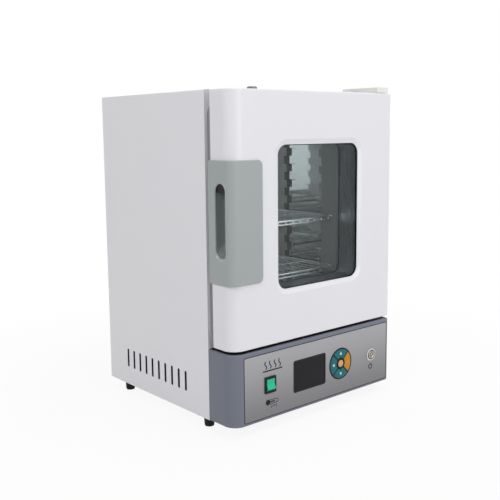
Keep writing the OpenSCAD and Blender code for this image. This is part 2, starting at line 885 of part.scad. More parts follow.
module insulation_rear() {
    x = lag_x_in - lag_gap;
    y0 = y_back + liner_t + lag_gap;
    color(wool) difference() {
        slab(-x, x, y0, lag_y1, z_floor - liner_t, z_ceiling + liner_t);
        bar_y(0, z_floor + probe_z, y0 - over, y0 + probe_tail + over, probe_d + 2 * lag_gap);
        for (s = [-1, 1])
            bar_y(s * 3 * heater_turn, heater_z, y0 - over, y0 + heater_end + over,
                heater_d + 2 * lag_gap);
        bar_y(0, cutout_z, y0 - over, y0 + cutout_t + over, cutout_d + 2 * lag_gap);
    }
}

// Pressed channel with a notched edge. Each notch's metal is folded in as a shelf ledge.
// The notched edge looks towards +Y, and the strip stands off the wall at x = x_wall.
module shelf_strip(x_wall, x_face) {
    s = x_wall > x_face ? 1 : -1;
    z0 = z_floor + strip_end_gap;
    h = chamber_h - 2 * strip_end_gap;
    x_web = s > 0 ? x_face - strip_t : x_face;
    reach = abs(x_wall - x_face);
    difference() {
        union() {
            translate([x_web, 0, z0]) cube([strip_t, strip_w, h]);
            translate([min(x_wall, x_face - s * strip_t), 0, z0]) cube([reach + strip_t, strip_t, h]);
            translate([s > 0 ? x_wall - strip_t : x_wall, 0, z0]) cube([strip_t, strip_foot_w, h]);
        }
        for (i = [0 : ledge_count - 1])
            translate([x_web - over, strip_w - notch_d, z_floor + ledge_z + i * ledge_pitch])
                cube([strip_t + 2 * over, notch_d + over, notch_h]);
    }
    for (i = [0 : ledge_count - 1])
        translate([s > 0 ? x_face - ledge_reach : x_face, strip_w - notch_d,
                z_floor + ledge_z + i * ledge_pitch - ledge_t])
            cube([ledge_reach, notch_d, ledge_t]);
}

// Front and rear strips of one side, with their notched edges facing each other
module shelf_strips(side) {
    x_wall = side * chamber_w / 2;
    x_face = side * x_strip;
    color(stainless) {
        translate([0, y_strip_front, 0]) shelf_strip(x_wall, x_face);
        translate([0, y_strip_rear + strip_w, 0]) mirror([0, 1, 0]) shelf_strip(x_wall, x_face);
    }
}

module shelf_strips_left() { shelf_strips(-1); }

module shelf_strips_right() { shelf_strips(1); }

// Wire shelf: a bent frame, rods from front to back and a lower front wire on short links
module wire_shelf(level) {
    z = z_floor + ledge_z + level * ledge_pitch + shelf_frame_d / 2;
    fx = shelf_w / 2 - shelf_frame_d / 2;
    y0 = y_shelf + shelf_frame_d / 2;
    y1 = y_shelf + shelf_d - shelf_frame_d / 2;
    lip_w = rod_count * rod_pitch;
    color(stainless) {
        for (s = [-1, 1]) bar_y(s * fx, z, y0 + shelf_r, y1 - shelf_r, shelf_frame_d);
        for (y = [y0, y1]) bar_x(y, z, 2 * (fx - shelf_r), shelf_frame_d);
        for (q = [[1, 1, 0], [-1, 1, 90], [-1, -1, 180], [1, -1, 270]])
            translate([q[0] * (fx - shelf_r), q[1] > 0 ? y1 - shelf_r : y0 + shelf_r, z])
                rotate([0, 0, q[2]]) rotate_extrude(angle = 90)
                    translate([shelf_r, 0]) circle(d = shelf_frame_d);
        for (i = [0 : rod_count]) {
            x = (i - rod_count / 2) * rod_pitch;
            bar_y(x, z, y0, y1, shelf_rod_d);
            translate([x, y0, z - lip_drop]) cylinder(h = lip_drop, d = shelf_rod_d);
        }
        for (t = [1 / 3, 2 / 3]) bar_x(y0 + t * (y1 - y0), z, 2 * fx, shelf_frame_d - 1);
        bar_x(y0, z - lip_drop, lip_w + 2 * shelf_rod_d, lip_d);
    }
}

module shelf_upper() { wire_shelf(shelf_level_high); }

module shelf_lower() { wire_shelf(shelf_level_low); }

// Perforated cover over the heater, on two folded legs
module floor_plate() {
    d = chamber_d - 2 * floor_plate_inset;
    y0 = y_mouth + floor_plate_inset;
    nx = floor((floor_plate_w / 2 - floor_plate_edge) / floor_hole_pitch);
    ny = floor((d / 2 - floor_plate_edge) / floor_hole_pitch);
    color(stainless) difference() {
        translate([-floor_plate_w / 2, y0, z_floor]) cube([floor_plate_w, d, floor_plate_z]);
        translate([-floor_plate_w / 2 + floor_plate_t, y0 - over, z_floor - over])
            cube([floor_plate_w - 2 * floor_plate_t, d + 2 * over, floor_plate_z - floor_plate_t + over]);
        for (i = [-nx : nx], j = [-ny : ny])
            translate([i * floor_hole_pitch, y0 + d / 2 + j * floor_hole_pitch, z_floor])
                cylinder(h = floor_plate_z + over, d = floor_hole_d);
    }
}

// Tubular heater: four straight runs joined by three U-bends, both ends through the back wall
module heater_element() {
    color([0.45, 0.43, 0.42]) {
        for (s = [-1, 1]) {
            bar_y(s * 3 * heater_turn, heater_z, y_heater_front, y_back + liner_t + heater_end, heater_d);
            bar_y(s * heater_turn, heater_z, y_heater_front, y_heater_rear, heater_d);
            translate([s * 2 * heater_turn, y_heater_front, heater_z]) rotate([0, 0, 180])
                heater_bend();
        }
        translate([0, y_heater_rear, heater_z]) heater_bend();
    }
}

module heater_bend() {
    rotate_extrude(angle = 180) translate([heater_turn, 0]) circle(d = heater_d);
}

module heater_bars() {
    w = floor_plate_w - 2 * floor_plate_t - 2 * fit;
    color(stainless) for (y = [y_heater_front + heater_bar_inset, y_heater_rear - heater_bar_inset])
        translate([-w / 2, y - heater_bar_w / 2, z_floor]) cube([w, heater_bar_w, heater_bar_h]);
}

module temperature_probe() {
    z = z_floor + probe_z;
    color(stainless) {
        bar_y(0, z, y_back - probe_l, y_back + liner_t + probe_tail, probe_d);
        bar_y(0, z, y_back - gland_t, y_back, gland_d);
    }
}

// Snap-action cutout clipped to the outside of the chamber's back wall
module thermal_cutout() {
    y0 = y_back + liner_t;
    color([0.25, 0.20, 0.18]) {
        bar_y(0, cutout_z, y0, y0 + cutout_t - 2, cutout_d);
        for (s = [-1, 1]) translate([s * 4 - 0.4, y0 + cutout_t - 3, cutout_z - 3]) cube([0.8, 3, 6]);
    }
}

// ---- Vent ----

// Tube from the chamber's ceiling through the casing's top, with a collar above and a port
module vent_tube() {
    top = z_top + vent_cap_h - vent_cap_top_t - run;
    color(stainless) translate([0, y_vent, 0]) difference() {
        union() {
            translate([0, 0, z_ceiling - vent_flange_t])
                cylinder(h = top - z_ceiling + vent_flange_t, d = vent_tube_d);
            translate([0, 0, z_ceiling - vent_flange_t]) cylinder(h = vent_flange_t, d = vent_flange_d);
            translate([0, 0, z_top]) cylinder(h = vent_collar_t, d = vent_collar_d);
        }
        translate([0, 0, z_ceiling - vent_flange_t - over])
            cylinder(h = top - z_ceiling + vent_flange_t + 2 * over, d = vent_tube_d - 2 * vent_tube_t);
        vent_port(vent_tube_d);
    }
}

// Side port that the cap opens or covers as it turns, facing the front
module vent_port(d) {
    translate([-vent_port_h / 2, -d, z_top + vent_collar_t + 3]) cube([vent_port_h, d, vent_port_h]);
}

module vent_cap() {
    low = z_top + vent_collar_t + run;
    top = z_top + vent_cap_h;
    color([0.30, 0.31, 0.33]) translate([0, y_vent, 0]) difference() {
        union() {
            translate([0, 0, low]) cylinder(h = top - low - 1.5, d = vent_cap_d);
            translate([0, 0, top - 1.5]) cylinder(h = 1.5, d1 = vent_cap_d, d2 = vent_cap_d - 3);
        }
        translate([0, 0, low - over])
            cylinder(h = top - vent_cap_top_t - low + over, d = vent_tube_d + 2 * pin_fit);
        vent_port(vent_cap_d);
        for (a = [30 : 30 : 330]) rotate([0, 0, a - 90])
            translate([vent_cap_d / 2 + 0.6, 0, low - over]) cylinder(h = vent_cap_h, d = 2.4);
    }
}

// ---- Control housing ----

// Moulded shell below the door, open at the back, with a recess for the overlay
module control_housing() {
    depth = door_d + seal_gap;
    color([0.47, 0.50, 0.57]) difference() {
        union() {
            translate([0, y_door, z_base])
                front_block(case_w, depth, ctrl_h, door_r, door_small_r, ctrl_edge_r, ctrl_wall);
            at_housing_screws() bar_y(0, 0, -boss_l, 0, 2 * boss_r);
            at_board_holes() bar_y(0, 0, y_inner - 0.5, y_inner + standoff_l, 2 * standoff_r);
        }
        front_extrude(y_door - over, overlay_recess + over) translate([overlay_x, z_row])
            rounded_rect(overlay_w + 2 * overlay_trim_w, overlay_h + 2 * overlay_trim_w, trim_r);
        front_extrude(y_door - over, ctrl_wall + 2 * over) control_cutouts(display_lap);
        at_housing_screws() bar_y(0, 0, -boss_l + 4, over, screw_d - 0.6);
    }
}

// Openings for the controls. The display's opening is smaller by lap all round.
module control_cutouts(lap) {
    translate([-rocker_x, z_row]) square([rocker_body_w + 2 * fit, rocker_body_h + 2 * fit], center = true);
    translate([-display_x, z_row])
        rounded_rect(display_w - 2 * lap, display_h - 2 * lap, lens_r);
    translate([keypad_x, z_row]) circle(d = keypad_d - 2 * (lap > 0 ? keypad_shoulder : -fit));
    translate([button_x, z_row]) circle(d = button_barrel_d + 2 * fit);
}

module at_board_holes() {
    for (sx = [-1, 1], sz = [-1, 1])
        translate([board_x + sx * (board_w / 2 - board_hole_inset), 0,
            z_row + sz * (board_h / 2 - board_hole_inset)]) children();
}

module control_housing_screws() {
    color(zinc) at_housing_screws() translate([0, sheet, 0]) rotate([90, 0, 0])
        screw(screw_d - 0.7, screw_head_d, screw_head_h, screw_l);
}

// Dark rubber line between the overlay and the housing
module overlay_trim() {
    color(black) front_extrude(y_door, overlay_recess) translate([overlay_x, z_row]) difference() {
        rounded_rect(overlay_w + 2 * overlay_trim_w, overlay_h + 2 * overlay_trim_w, trim_r);
        rounded_rect(overlay_w, overlay_h, overlay_r);
    }
}

module control_overlay() {
    color([0.62, 0.63, 0.65]) front_extrude(y_face, overlay_t) difference() {
        translate([overlay_x, z_row]) rounded_rect(overlay_w, overlay_h, overlay_r);
        control_cutouts(0);
    }
}

module display_lens() {
    color([0.12, 0.12, 0.13]) front_extrude(y_face, overlay_t)
        translate([-display_x, z_row]) rounded_rect(lens_w, lens_h, lens_r - fit);
}

module display_module() {
    w = display_w + 2 * module_margin;
    h = display_h + 2 * module_margin;
    color([0.16, 0.17, 0.16]) translate([-display_x - w / 2, y_inner, z_row - h / 2]) cube([w, module_t, h]);
}

// Circuit board on four standoffs behind the display, with its tall components
module control_board() {
    y0 = y_inner + standoff_l;
    x0 = board_x - board_w / 2;
    color([0.08, 0.35, 0.22]) {
        difference() {
            translate([x0, y0, z_row - board_h / 2]) cube([board_w, board_t, board_h]);
            at_board_holes() bar_y(0, 0, y0 - over, y0 + board_t + over, 3);
        }
        for (i = [1 : 3]) translate([x0 + (2 * i - 0.5) * 0.75 * capacitor_d, y0 + board_t, z_row + board_h / 4])
            rotate([-90, 0, 0]) cylinder(h = capacitor_h, d = capacitor_d);
        translate([board_x, y0 + board_t, z_row - board_h / 3]) cube(board_relay_size);
        translate([board_x + board_w / 5, y0 + board_t, z_row - board_h / 3]) cube(terminal_size);
        translate([board_x, y0 + board_t, z_row]) cube(chip_size);
    }
}

// ---- Keypad ----

// Quarter of a ring about the origin, pointing up, kept web/2 off both diagonals
module key_sector(r_in, r_out, web) {
    lift = web / sqrt(2);
    intersection() {
        difference() {
            circle(r_out);
            circle(r_in);
        }
        polygon([[0, lift], [keypad_d, keypad_d + lift], [-keypad_d, keypad_d + lift]]);
    }
}

// Round moulding with four wells and a hub well
module keypad_base() {
    body_d = keypad_d - 2 * keypad_shoulder - 2 * fit;
    color(black) translate([keypad_x, 0, z_row]) difference() {
        union() {
            bar_y(0, 0, y_face - keypad_rim, y_seat, keypad_d);
            bar_y(0, 0, y_seat - 0.5, y_seat + keypad_body_t, body_d);
        }
        front_extrude(y_face - over - keypad_rim, well_floor - y_face + over + keypad_rim) {
            for (a = [0 : 90 : 270]) rotate(a) key_sector(key_r_in, key_r_out - 1.6, key_web);
            circle(d = hub_well_d);
        }
    }
}

// Key in the well turned by angle, standing proud of the overlay
module sector_key(angle, tint) {
    color(tint) translate([keypad_x, 0, z_row])
        front_extrude(y_face - key_proud, key_back - y_face + key_proud) rotate(angle)
            key_sector(key_r_in + run, key_r_out - 1.6 - run, key_web + 2 * run);
}

module key_up() { sector_key(0, [0.10, 0.43, 0.45]); }

module key_left() { sector_key(90, [0.10, 0.43, 0.45]); }

module key_down() { sector_key(180, [0.10, 0.43, 0.45]); }

module key_right() { sector_key(270, [0.73, 0.51, 0.16]); }

module key_centre() {
    color([0.78, 0.55, 0.35]) translate([keypad_x, 0, z_row])
        bar_y(0, 0, y_face - key_proud - 0.4, key_back, hub_well_d - 2 * run);
}

// ---- Rocker switch and power button ----

// Switch body with its front frame, cavity, axle holes and terminals
module rocker_body() {
    y_front = y_face - rocker_flange_t;
    cavity_w = rocker_cap_w + 2 * run;
    color(black) translate([-rocker_x, 0, z_row]) difference() {
        union() {
            front_extrude(y_front, rocker_flange_t) rounded_rect(rocker_frame_w, rocker_frame_h, 1.5);
            front_extrude(y_front + 0.5, rocker_flange_t + rocker_body_l)
                square([rocker_body_w, rocker_body_h], center = true);
            for (s = [-1, 1], z = [-8, 0, 8])
                translate([s * 6 - 0.4, y_front + rocker_body_l, z - 2.4]) cube([0.8, 12, 4.8]);
        }
        side_extrude(-cavity_w / 2, cavity_w) translate([y_face + rocker_pivot, 0]) rocker_profile(run, 20);
        translate([0, y_face + rocker_pivot, 0]) bar_x(0, 0, rocker_body_w + 2 * over,
            rocker_axle_d + 2 * pin_fit);
    }
}

// Side outline of the rocker's path: a round of radius rocker_r cut off in front and behind
module rocker_profile(gap, front) {
    r = rocker_r + gap;
    intersection() {
        circle(r);
        translate([-front, -r]) square([front + rocker_tail + 3, 2 * r]);
    }
}

// Lit cap: its front is a shallow V, and at rest its lower half stands out
module rocker_cap() {
    rise = rocker_r * tan(rocker_throw / 2);
    color([0.20, 0.75, 0.57]) translate([-rocker_x, y_face + rocker_pivot, z_row])
        rotate([-rocker_throw / 2, 0, 0]) {
            side_extrude(-rocker_cap_w / 2, rocker_cap_w) intersection() {
                circle(rocker_r);
                polygon([[-rocker_front, 0], [-rocker_front - rise, rocker_r], [rocker_tail, rocker_r],
                    [rocker_tail, -rocker_r], [-rocker_front - rise, -rocker_r]]);
            }
            bar_x(0, 0, rocker_body_w - 0.4, rocker_axle_d);
        }
}

// Stainless head and threaded barrel
module power_button_body() {
    color(stainless) translate([button_x, 0, z_row]) difference() {
        union() {
            translate([0, y_face - button_head_t, 0]) rotate([-90, 0, 0]) {
                cylinder(h = 0.8, d1 = button_head_d - 1.6, d2 = button_head_d);
                translate([0, 0, 0.8]) cylinder(h = button_head_t - 0.8, d = button_head_d);
            }
            bar_y(0, 0, y_face - 0.5, y_face + button_barrel_l, button_barrel_d);
        }
        bar_y(0, 0, y_face - button_head_t - over, y_face + button_well, button_cap_d + 2 * run);
    }
}

module power_button_cap() {
    color([0.55, 0.56, 0.58]) translate([button_x, 0, z_row])
        bar_y(0, 0, y_face - button_head_t - button_proud, y_face + button_well - button_travel - run,
            button_cap_d);
}

module power_button_nut() {
    color(zinc) translate([button_x, y_inner, z_row]) rotate([-90, 0, 0]) difference() {
        cylinder(h = nut_t, d = nut_af_d, $fn = 6);
        translate([0, 0, -over]) cylinder(h = nut_t + 2 * over, d = button_barrel_d + 2 * pin_fit);
    }
}

// ---- Electronics bay ----

// Relay on a finned aluminium heat sink
module solid_state_relay() {
    fin_step = (sink_w - fin_t) / (fin_count - 1);
    color([0.18, 0.19, 0.21]) translate([relay_at[0], relay_at[1], z_base + sheet]) {
        translate([-sink_w / 2, -sink_l / 2, 0]) cube([sink_w, sink_l, sink_t]);
        for (i = [0 : fin_count - 1])
            translate([-sink_w / 2 + i * fin_step, -sink_l / 2, sink_t / 2])
                cube([fin_t, sink_l, sink_t / 2 + fin_h]);
        translate([-relay_size[0] / 2, -relay_size[1] / 2, sink_t + fin_h - fin_t]) cube(relay_size);
    }
}

// Open-frame supply in a folded, slotted cover
module power_supply() {
    color([0.70, 0.71, 0.70]) translate([psu_at[0], psu_at[1], z_base + sheet]) difference() {
        translate([-psu_size[0] / 2, -psu_size[1] / 2, 0]) cube(psu_size);
        for (i = [-psu_slots : psu_slots])
            translate([i * psu_slot_pitch, 0, psu_size[2] - 2])
                linear_extrude(2 + over) slot(psu_slot_w, psu_slot_l);
    }
}

// Rear inlet for a mains connector, with a fuse drawer below its socket
module mains_inlet() {
    socket_w = 24.5;
    socket_h = 17;
    socket_z = 10;
    color(black) translate([inlet_x, 0, inlet_z]) {
        difference() {
            union() {
                front_extrude(y_rear - sheet - inlet_l, inlet_l + sheet)
                    rounded_rect(inlet_w, inlet_h, 2);
                front_extrude(y_rear, inlet_flange_t)
                    rounded_rect(inlet_w + 2 * inlet_flange, inlet_h + 2 * inlet_flange, 4);
            }
            front_extrude(y_rear - 15, 15 + inlet_flange_t + over) translate([0, socket_z])
                polygon([[-socket_w / 2, -socket_h / 2], [socket_w / 2, -socket_h / 2],
                    [socket_w / 2, socket_h / 2 - 5], [socket_w / 2 - 5, socket_h / 2],
                    [5 - socket_w / 2, socket_h / 2], [-socket_w / 2, socket_h / 2 - 5]]);
            front_extrude(y_rear + inlet_flange_t - 1, 1 + over) translate([0, -14])
                difference() {
                    rounded_rect(23, 17, 2);
                    rounded_rect(21, 15, 1.5);
                }
        }
        for (p = [[-7, 8], [7, 8], [0, 12]])
            translate([p[0] - 1, y_rear - 16, p[1] - 2]) cube([2, 15, 4]);
    }
}

// ---- Door ----

// Folded steel shell with a rounded left edge, a dished window and a side opening for the cup
module door_skin() {
    color(paint_white) difference() {
        union() {
            translate([0, y_door, z_door])
                front_block(case_w, door_d, door_h, door_r, door_small_r, door_edge_r, sheet);
            translate([window_x, y_door + sheet, z_window]) intersection() {
                land_dish();
                front_extrude(-sheet / 2, dish_d + sheet) square([case_w, door_h], center = true);
            }
        }
        translate([window_x, y_door, z_window]) land_dish();
        front_extrude(y_door - over, dish_d + sheet + 2 * over)
            translate([window_x, z_window]) rounded_rect(window_w, window_h, window_r);
        side_extrude(-case_w / 2 - over, grip_depth) translate([y_door + grip_y, z_grip])
            slot(grip_w + 2 * grip_wall + 2 * fit, grip_h + 2 * grip_wall + 2 * fit);
        translate([pin_x, pin_y, z_door - over]) cylinder(h = door_h + 2 * over, d = bush_d + 2 * pin_fit);
    }
}

// Hollow of the dish: a slope, then a flat land round the opening
module land_dish() {
    dish(window_w + 2 * dish_land_w, window_h + 2 * dish_land_w, window_r + dish_land_w,
        dish_slope_w, dish_d);
}

// Stainless inner panel, flush with the shell's back edge, with a folded rim
module door_liner() {
    w = door_in_w - 2 * fit;
    h = door_h - 2 * sheet - 2 * fit;
    r = door_edge_r - sheet - fit;
    z = z_door + door_h / 2;
    color(stainless) difference() {
        union() {
            front_extrude(y_door_back - door_liner_t, door_liner_t) translate([0, z]) rounded_rect(w, h, r);
            front_extrude(y_door_back - door_liner_rim, door_liner_rim) translate([0, z]) difference() {
                rounded_rect(w, h, r);
                rounded_rect(w - 2 * door_liner_t, h - 2 * door_liner_t, r - door_liner_t / 2);
            }
        }
        front_extrude(y_door_back - door_liner_t - over, door_liner_t + 2 * over)
            translate([window_x, z_window]) rounded_rect(window_w, window_h, window_r);
        side_extrude(-case_w / 2 - over, grip_depth) translate([y_door + grip_y, z_grip])
            slot(grip_w + 2 * grip_wall + 2 * fit, grip_h + 2 * grip_wall + 2 * fit);
    }
}

// Wool that fills the door round the window, the finger cup and the hinge bushes
module door_insulation() {
    inset = sheet + lag_gap;
    rim = fit + door_liner_t + lag_gap;
    hole = 2 * (glass_lap + lag_gap);
    dish_hole = 2 * (dish_land_w + dish_slope_w + sheet + lag_gap);
    y_stop = y_door_back - door_liner_t - lag_gap;
    color(wool) difference() {
        translate([0, y_door + inset, z_door + sheet + rim])
            front_block(door_in_w - 2 * rim, y_stop - y_door - inset, door_h - 2 * sheet - 2 * rim,
                door_r - inset, door_small_r - sheet, door_edge_r - sheet);
        front_extrude(y_door, door_d) translate([window_x, z_window])
            rounded_rect(window_w + hole, window_h + hole, window_r + hole / 2);
        front_extrude(y_door, dish_d + sheet + lag_gap) translate([window_x, z_window])
            rounded_rect(window_w + dish_hole, window_h + dish_hole, window_r + dish_hole / 2);
        side_extrude(-case_w / 2, grip_depth + grip_wall + lag_gap) translate([y_door + grip_y, z_grip])
            slot(grip_w + 2 * grip_wall + 2 * lag_gap, grip_h + 2 * grip_wall + 2 * lag_gap);
        for (z = [z_door, z_door + door_h - bush_l - lag_gap])
            translate([pin_x, pin_y, z]) cylinder(h = bush_l + lag_gap, d = bush_d + 2 * lag_gap);
    }
}

module window_seal() {
    color(black) front_extrude(y_land, window_seal_t) translate([window_x, z_window]) difference() {
        rounded_rect(pane_w, pane_h, pane_r);
        rounded_rect(window_w - 2 * window_seal_show, window_h - 2 * window_seal_show,
            window_r - window_seal_show);
    }
}

module window_outer_glass() {
    color([0.6, 0.7, 0.68, 0.4]) front_extrude(y_pane, glass_t)
        translate([window_x, z_window]) rounded_rect(pane_w, pane_h, pane_r);
}

// Reveal that joins the two panes, with a flange for the inner pane to lie on
module window_reveal() {
    depth = y_inner_pane - y_reveal;
    color(stainless) translate([window_x, 0, z_window]) difference() {
        union() {
            front_extrude(y_reveal, depth) rounded_rect(window_w + 2 * reveal_t, window_h + 2 * reveal_t,
                window_r + reveal_t);
            front_extrude(y_reveal + depth - reveal_t, reveal_t) rounded_rect(window_w + 2 * inner_lap,
                window_h + 2 * inner_lap, window_r + inner_lap);
        }
        front_extrude(y_reveal - over, depth + 2 * over) rounded_rect(window_w, window_h, window_r);
    }
}

module window_inner_glass() {
    color([0.6, 0.7, 0.68, 0.4]) front_extrude(y_inner_pane, glass_t) translate([window_x, z_window])
        rounded_rect(window_w + 2 * inner_lap, window_h + 2 * inner_lap, window_r + inner_lap);
}

// Silicone seal on the door's back: a foot, a waist and a lip that closes on the front frame
module door_gasket() {
    foot_l = 4;
    waist_l = 3;
    waist_in = 2;
    color([0.56, 0.54, 0.52]) {
        front_extrude(y_door_back, foot_l) gasket_ring(0);
        front_extrude(y_door_back + foot_l, waist_l) gasket_ring(waist_in);
        front_extrude(y_door_back + foot_l + waist_l, gasket_l - foot_l - waist_l) gasket_ring(0);
    }
}

module gasket_ring(inset) {
    w = gasket_x1 - gasket_x0 - 2 * inset;
    h = gasket_z1 - gasket_z0 - 2 * inset;
    hole = 2 * (gasket_w - 2 * inset);
    translate([(gasket_x0 + gasket_x1) / 2, (gasket_z0 + gasket_z1) / 2]) difference() {
        rounded_rect(w, h, gasket_r - inset);
        rounded_rect(w - hole, h - hole, gasket_r - gasket_w + inset + 4);
    }
}

// ---- Handle ----

// Moulded band round the door's left edge, with a finger cup let into the door's side
module door_handle() {
    outer_w = case_w + 2 * handle_proud;
    outer_d = handle_proud + door_d + handle_back;
    front_x = -case_w / 2 + handle_reach;
    color([0.60, 0.62, 0.62]) difference() {
        union() {
            difference() {
                intersection() {
                    handle_bulk(outer_w, outer_d);
                    front_extrude(y_door - handle_proud - over, outer_d + 2 * over)
                        handle_outline(front_x);
                }
                translate([0, y_door, z_door - over]) linear_extrude(door_h)
                    front_plan(case_w, door_d, door_r, door_small_r);
                translate([-case_w / 2 + handle_lip, y_door_back - over, z_door])
                    cube([case_w, handle_back + 2 * over, door_h]);
            }
            intersection() {
                handle_bulk(outer_w, outer_d);
                side_extrude(handle_x, grip_depth + grip_wall) translate([y_door + grip_y, z_grip])
                    slot(grip_w + 2 * grip_wall, grip_h + 2 * grip_wall);
            }
        }
        side_extrude(handle_x - over, grip_depth + over) translate([y_door + grip_y, z_grip])
            slot(grip_w, grip_h);
    }
}

module handle_bulk(w, d) {
    translate([0, y_door - handle_proud, z_handle - handle_h / 2]) linear_extrude(handle_h)
        front_plan(w, d, handle_corner_r, door_small_r);
}

// Front view of the handle: square on the door's edge, round at its free corners
module handle_outline(x1) {
    w = x1 - handle_x + over;
    translate([handle_x - over, z_handle - handle_h / 2]) {
        square([w - handle_r, handle_h]);
        translate([0, handle_r]) square([w, handle_h - 2 * handle_r]);
        for (z = [handle_r, handle_h - handle_r]) translate([w - handle_r, z]) circle(handle_r);
    }
}

// ---- Hinge ----

// Flanged bushes in the door's top and bottom
module hinge_bushes() {
    color([0.90, 0.89, 0.84]) translate([pin_x, pin_y, 0]) {
        bush(z_door, z_door - low_collar_h, low_collar_h);
        bush(z_door + door_h - bush_l, z_door + door_h, top_collar_h);
    }
}

// Bush whose barrel starts at z_barrel and whose collar starts at z_collar
module bush(z_barrel, z_collar, collar_h) {
    difference() {
        union() {
            translate([0, 0, z_barrel]) cylinder(h = bush_l, d = bush_d);
            translate([0, 0, z_collar]) cylinder(h = collar_h, d = collar_d);
        }
        translate([0, 0, min(z_barrel, z_collar) - over])
            cylinder(h = bush_l + collar_h + 2 * over, d = pin_d + 2 * pin_fit);
    }
}

// Steel plates that carry the pins: one on the casing's top, one below the bay divider
module hinge_brackets() {
    hole = pin_d + 2 * pin_fit;
    color(zinc) {
        difference() {
            translate([0, 0, z_top]) linear_extrude(bracket_t)
                bracket_plan(bracket_x0, bracket_x1, bracket_y0, bracket_y1);
            translate([pin_x, pin_y, z_top - over]) cylinder(h = bracket_t + 2 * over, d = hole);
            at_top_hinge_screws() translate([0, 0, -over])
                cylinder(h = bracket_t + 2 * over, d = hinge_screw_d + 2 * pin_fit);
        }
        difference() {
            translate([0, 0, z_bracket]) linear_extrude(bracket_t)
                bracket_plan(low_bracket_x0, low_bracket_x1, bracket_y0, low_bracket_y1);
            translate([pin_x, pin_y, z_bracket - over]) cylinder(h = bracket_t + 2 * over, d = hole);
            at_low_hinge_screws() translate([0, 0, -over])
                cylinder(h = bracket_t + 2 * over, d = hinge_screw_d + 2 * pin_fit);
        }
    }
}

module bracket_plan(x0, x1, y0, y1) {
    translate([(x0 + x1) / 2, (y0 + y1) / 2]) rounded_rect(x1 - x0, y1 - y0, 5);
}

module hinge_pins() {
    color([0.55, 0.56, 0.58]) translate([pin_x, pin_y, 0]) {
        translate([0, 0, z_door + door_h - pin_reach])
            cylinder(h = pin_reach + door_drop + bracket_t, d = pin_d);
        translate([0, 0, z_top + bracket_t]) cylinder(h = pin_head_h, d = pin_head_d);
        translate([0, 0, z_bracket]) cylinder(h = z_door - z_bracket + pin_reach, d = pin_d);
    }
}

// Folded cover over the top bracket, open below
module hinge_cover() {
    x_mid = (cover_x0 + cover_x1) / 2;
    y_mid = cover_y0 + cover_d / 2;
    color(paint_white) translate([x_mid, y_mid, z_top]) difference() {
        linear_extrude(hinge_cover_h) rounded_rect(hinge_cover_l, cover_d, 3);
        translate([0, 0, -over]) linear_extrude(hinge_cover_h - sheet + over)
            rounded_rect(hinge_cover_l - 2 * sheet, cover_d - 2 * sheet, 3 - sheet);
    }
}

module hinge_screws() {
    color(zinc) {
        at_top_hinge_screws() translate([0, 0, bracket_t]) rotate([180, 0, 0])
            screw(hinge_screw_d, hinge_head_d, hinge_head_h, bracket_t + sheet);
        at_low_hinge_screws() screw(hinge_screw_d, hinge_head_d, hinge_head_h, bracket_t + sheet);
    }
}

outer_casing();
front_frame();
base_plate();
rear_cover();
rear_cover_screws();
bay_divider();
feet();
foot_fasteners();
chamber_liner();
insulation_left();
insulation_right();
insulation_top();
insulation_bottom();
insulation_rear();
shelf_strips_left();
shelf_strips_right();
shelf_upper();
shelf_lower();
floor_plate();
heater_element();
heater_bars();
temperature_probe();
thermal_cutout();
vent_tube();
vent_cap();
control_housing();
control_housing_screws();
overlay_trim();
control_overlay();
display_lens();
display_module();
control_board();
keypad_base();
key_up();
key_down();
key_left();
key_right();
key_centre();
rocker_body();
rocker_cap();
power_button_body();
power_button_cap();
power_button_nut();
solid_state_relay();
power_supply();
mains_inlet();
door_skin();
door_liner();
door_insulation();
window_seal();
window_outer_glass();
window_reveal();
window_inner_glass();
door_gasket();
door_handle();
hinge_bushes();
hinge_brackets();
hinge_pins();
hinge_cover();
hinge_screws();
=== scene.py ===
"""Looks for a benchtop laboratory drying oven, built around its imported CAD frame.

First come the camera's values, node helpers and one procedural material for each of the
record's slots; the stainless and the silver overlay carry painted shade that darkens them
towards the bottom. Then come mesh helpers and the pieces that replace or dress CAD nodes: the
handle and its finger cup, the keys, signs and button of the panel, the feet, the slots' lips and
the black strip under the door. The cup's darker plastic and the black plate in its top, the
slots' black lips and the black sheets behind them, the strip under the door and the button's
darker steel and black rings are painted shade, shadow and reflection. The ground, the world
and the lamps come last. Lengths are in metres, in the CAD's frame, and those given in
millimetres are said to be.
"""

import json
import math

import bmesh
import bpy
from mathutils import Matrix, Vector


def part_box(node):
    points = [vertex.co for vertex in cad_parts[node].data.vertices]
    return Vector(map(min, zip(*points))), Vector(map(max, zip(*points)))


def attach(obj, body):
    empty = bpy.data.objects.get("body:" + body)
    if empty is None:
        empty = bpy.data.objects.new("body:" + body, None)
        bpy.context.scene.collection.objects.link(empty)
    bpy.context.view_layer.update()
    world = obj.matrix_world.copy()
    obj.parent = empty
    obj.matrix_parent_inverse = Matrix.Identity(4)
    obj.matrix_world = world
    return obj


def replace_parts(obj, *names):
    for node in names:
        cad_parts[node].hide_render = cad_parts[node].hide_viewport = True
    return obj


MM = 0.001
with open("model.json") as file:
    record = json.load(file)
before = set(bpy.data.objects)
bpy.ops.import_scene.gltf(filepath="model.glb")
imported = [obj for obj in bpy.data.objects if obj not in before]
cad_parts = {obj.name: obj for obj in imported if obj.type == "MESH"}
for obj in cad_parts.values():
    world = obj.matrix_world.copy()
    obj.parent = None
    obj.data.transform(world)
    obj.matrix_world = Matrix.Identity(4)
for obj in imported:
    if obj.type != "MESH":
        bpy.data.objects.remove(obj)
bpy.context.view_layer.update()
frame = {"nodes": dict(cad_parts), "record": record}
nodes = frame["nodes"]


def span(node):
    """Lowest and highest corner of a CAD node, as (x0, y0, z0), (x1, y1, z1)."""
    low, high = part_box(node)
    return tuple(low), tuple(high)


# ---- Camera ----

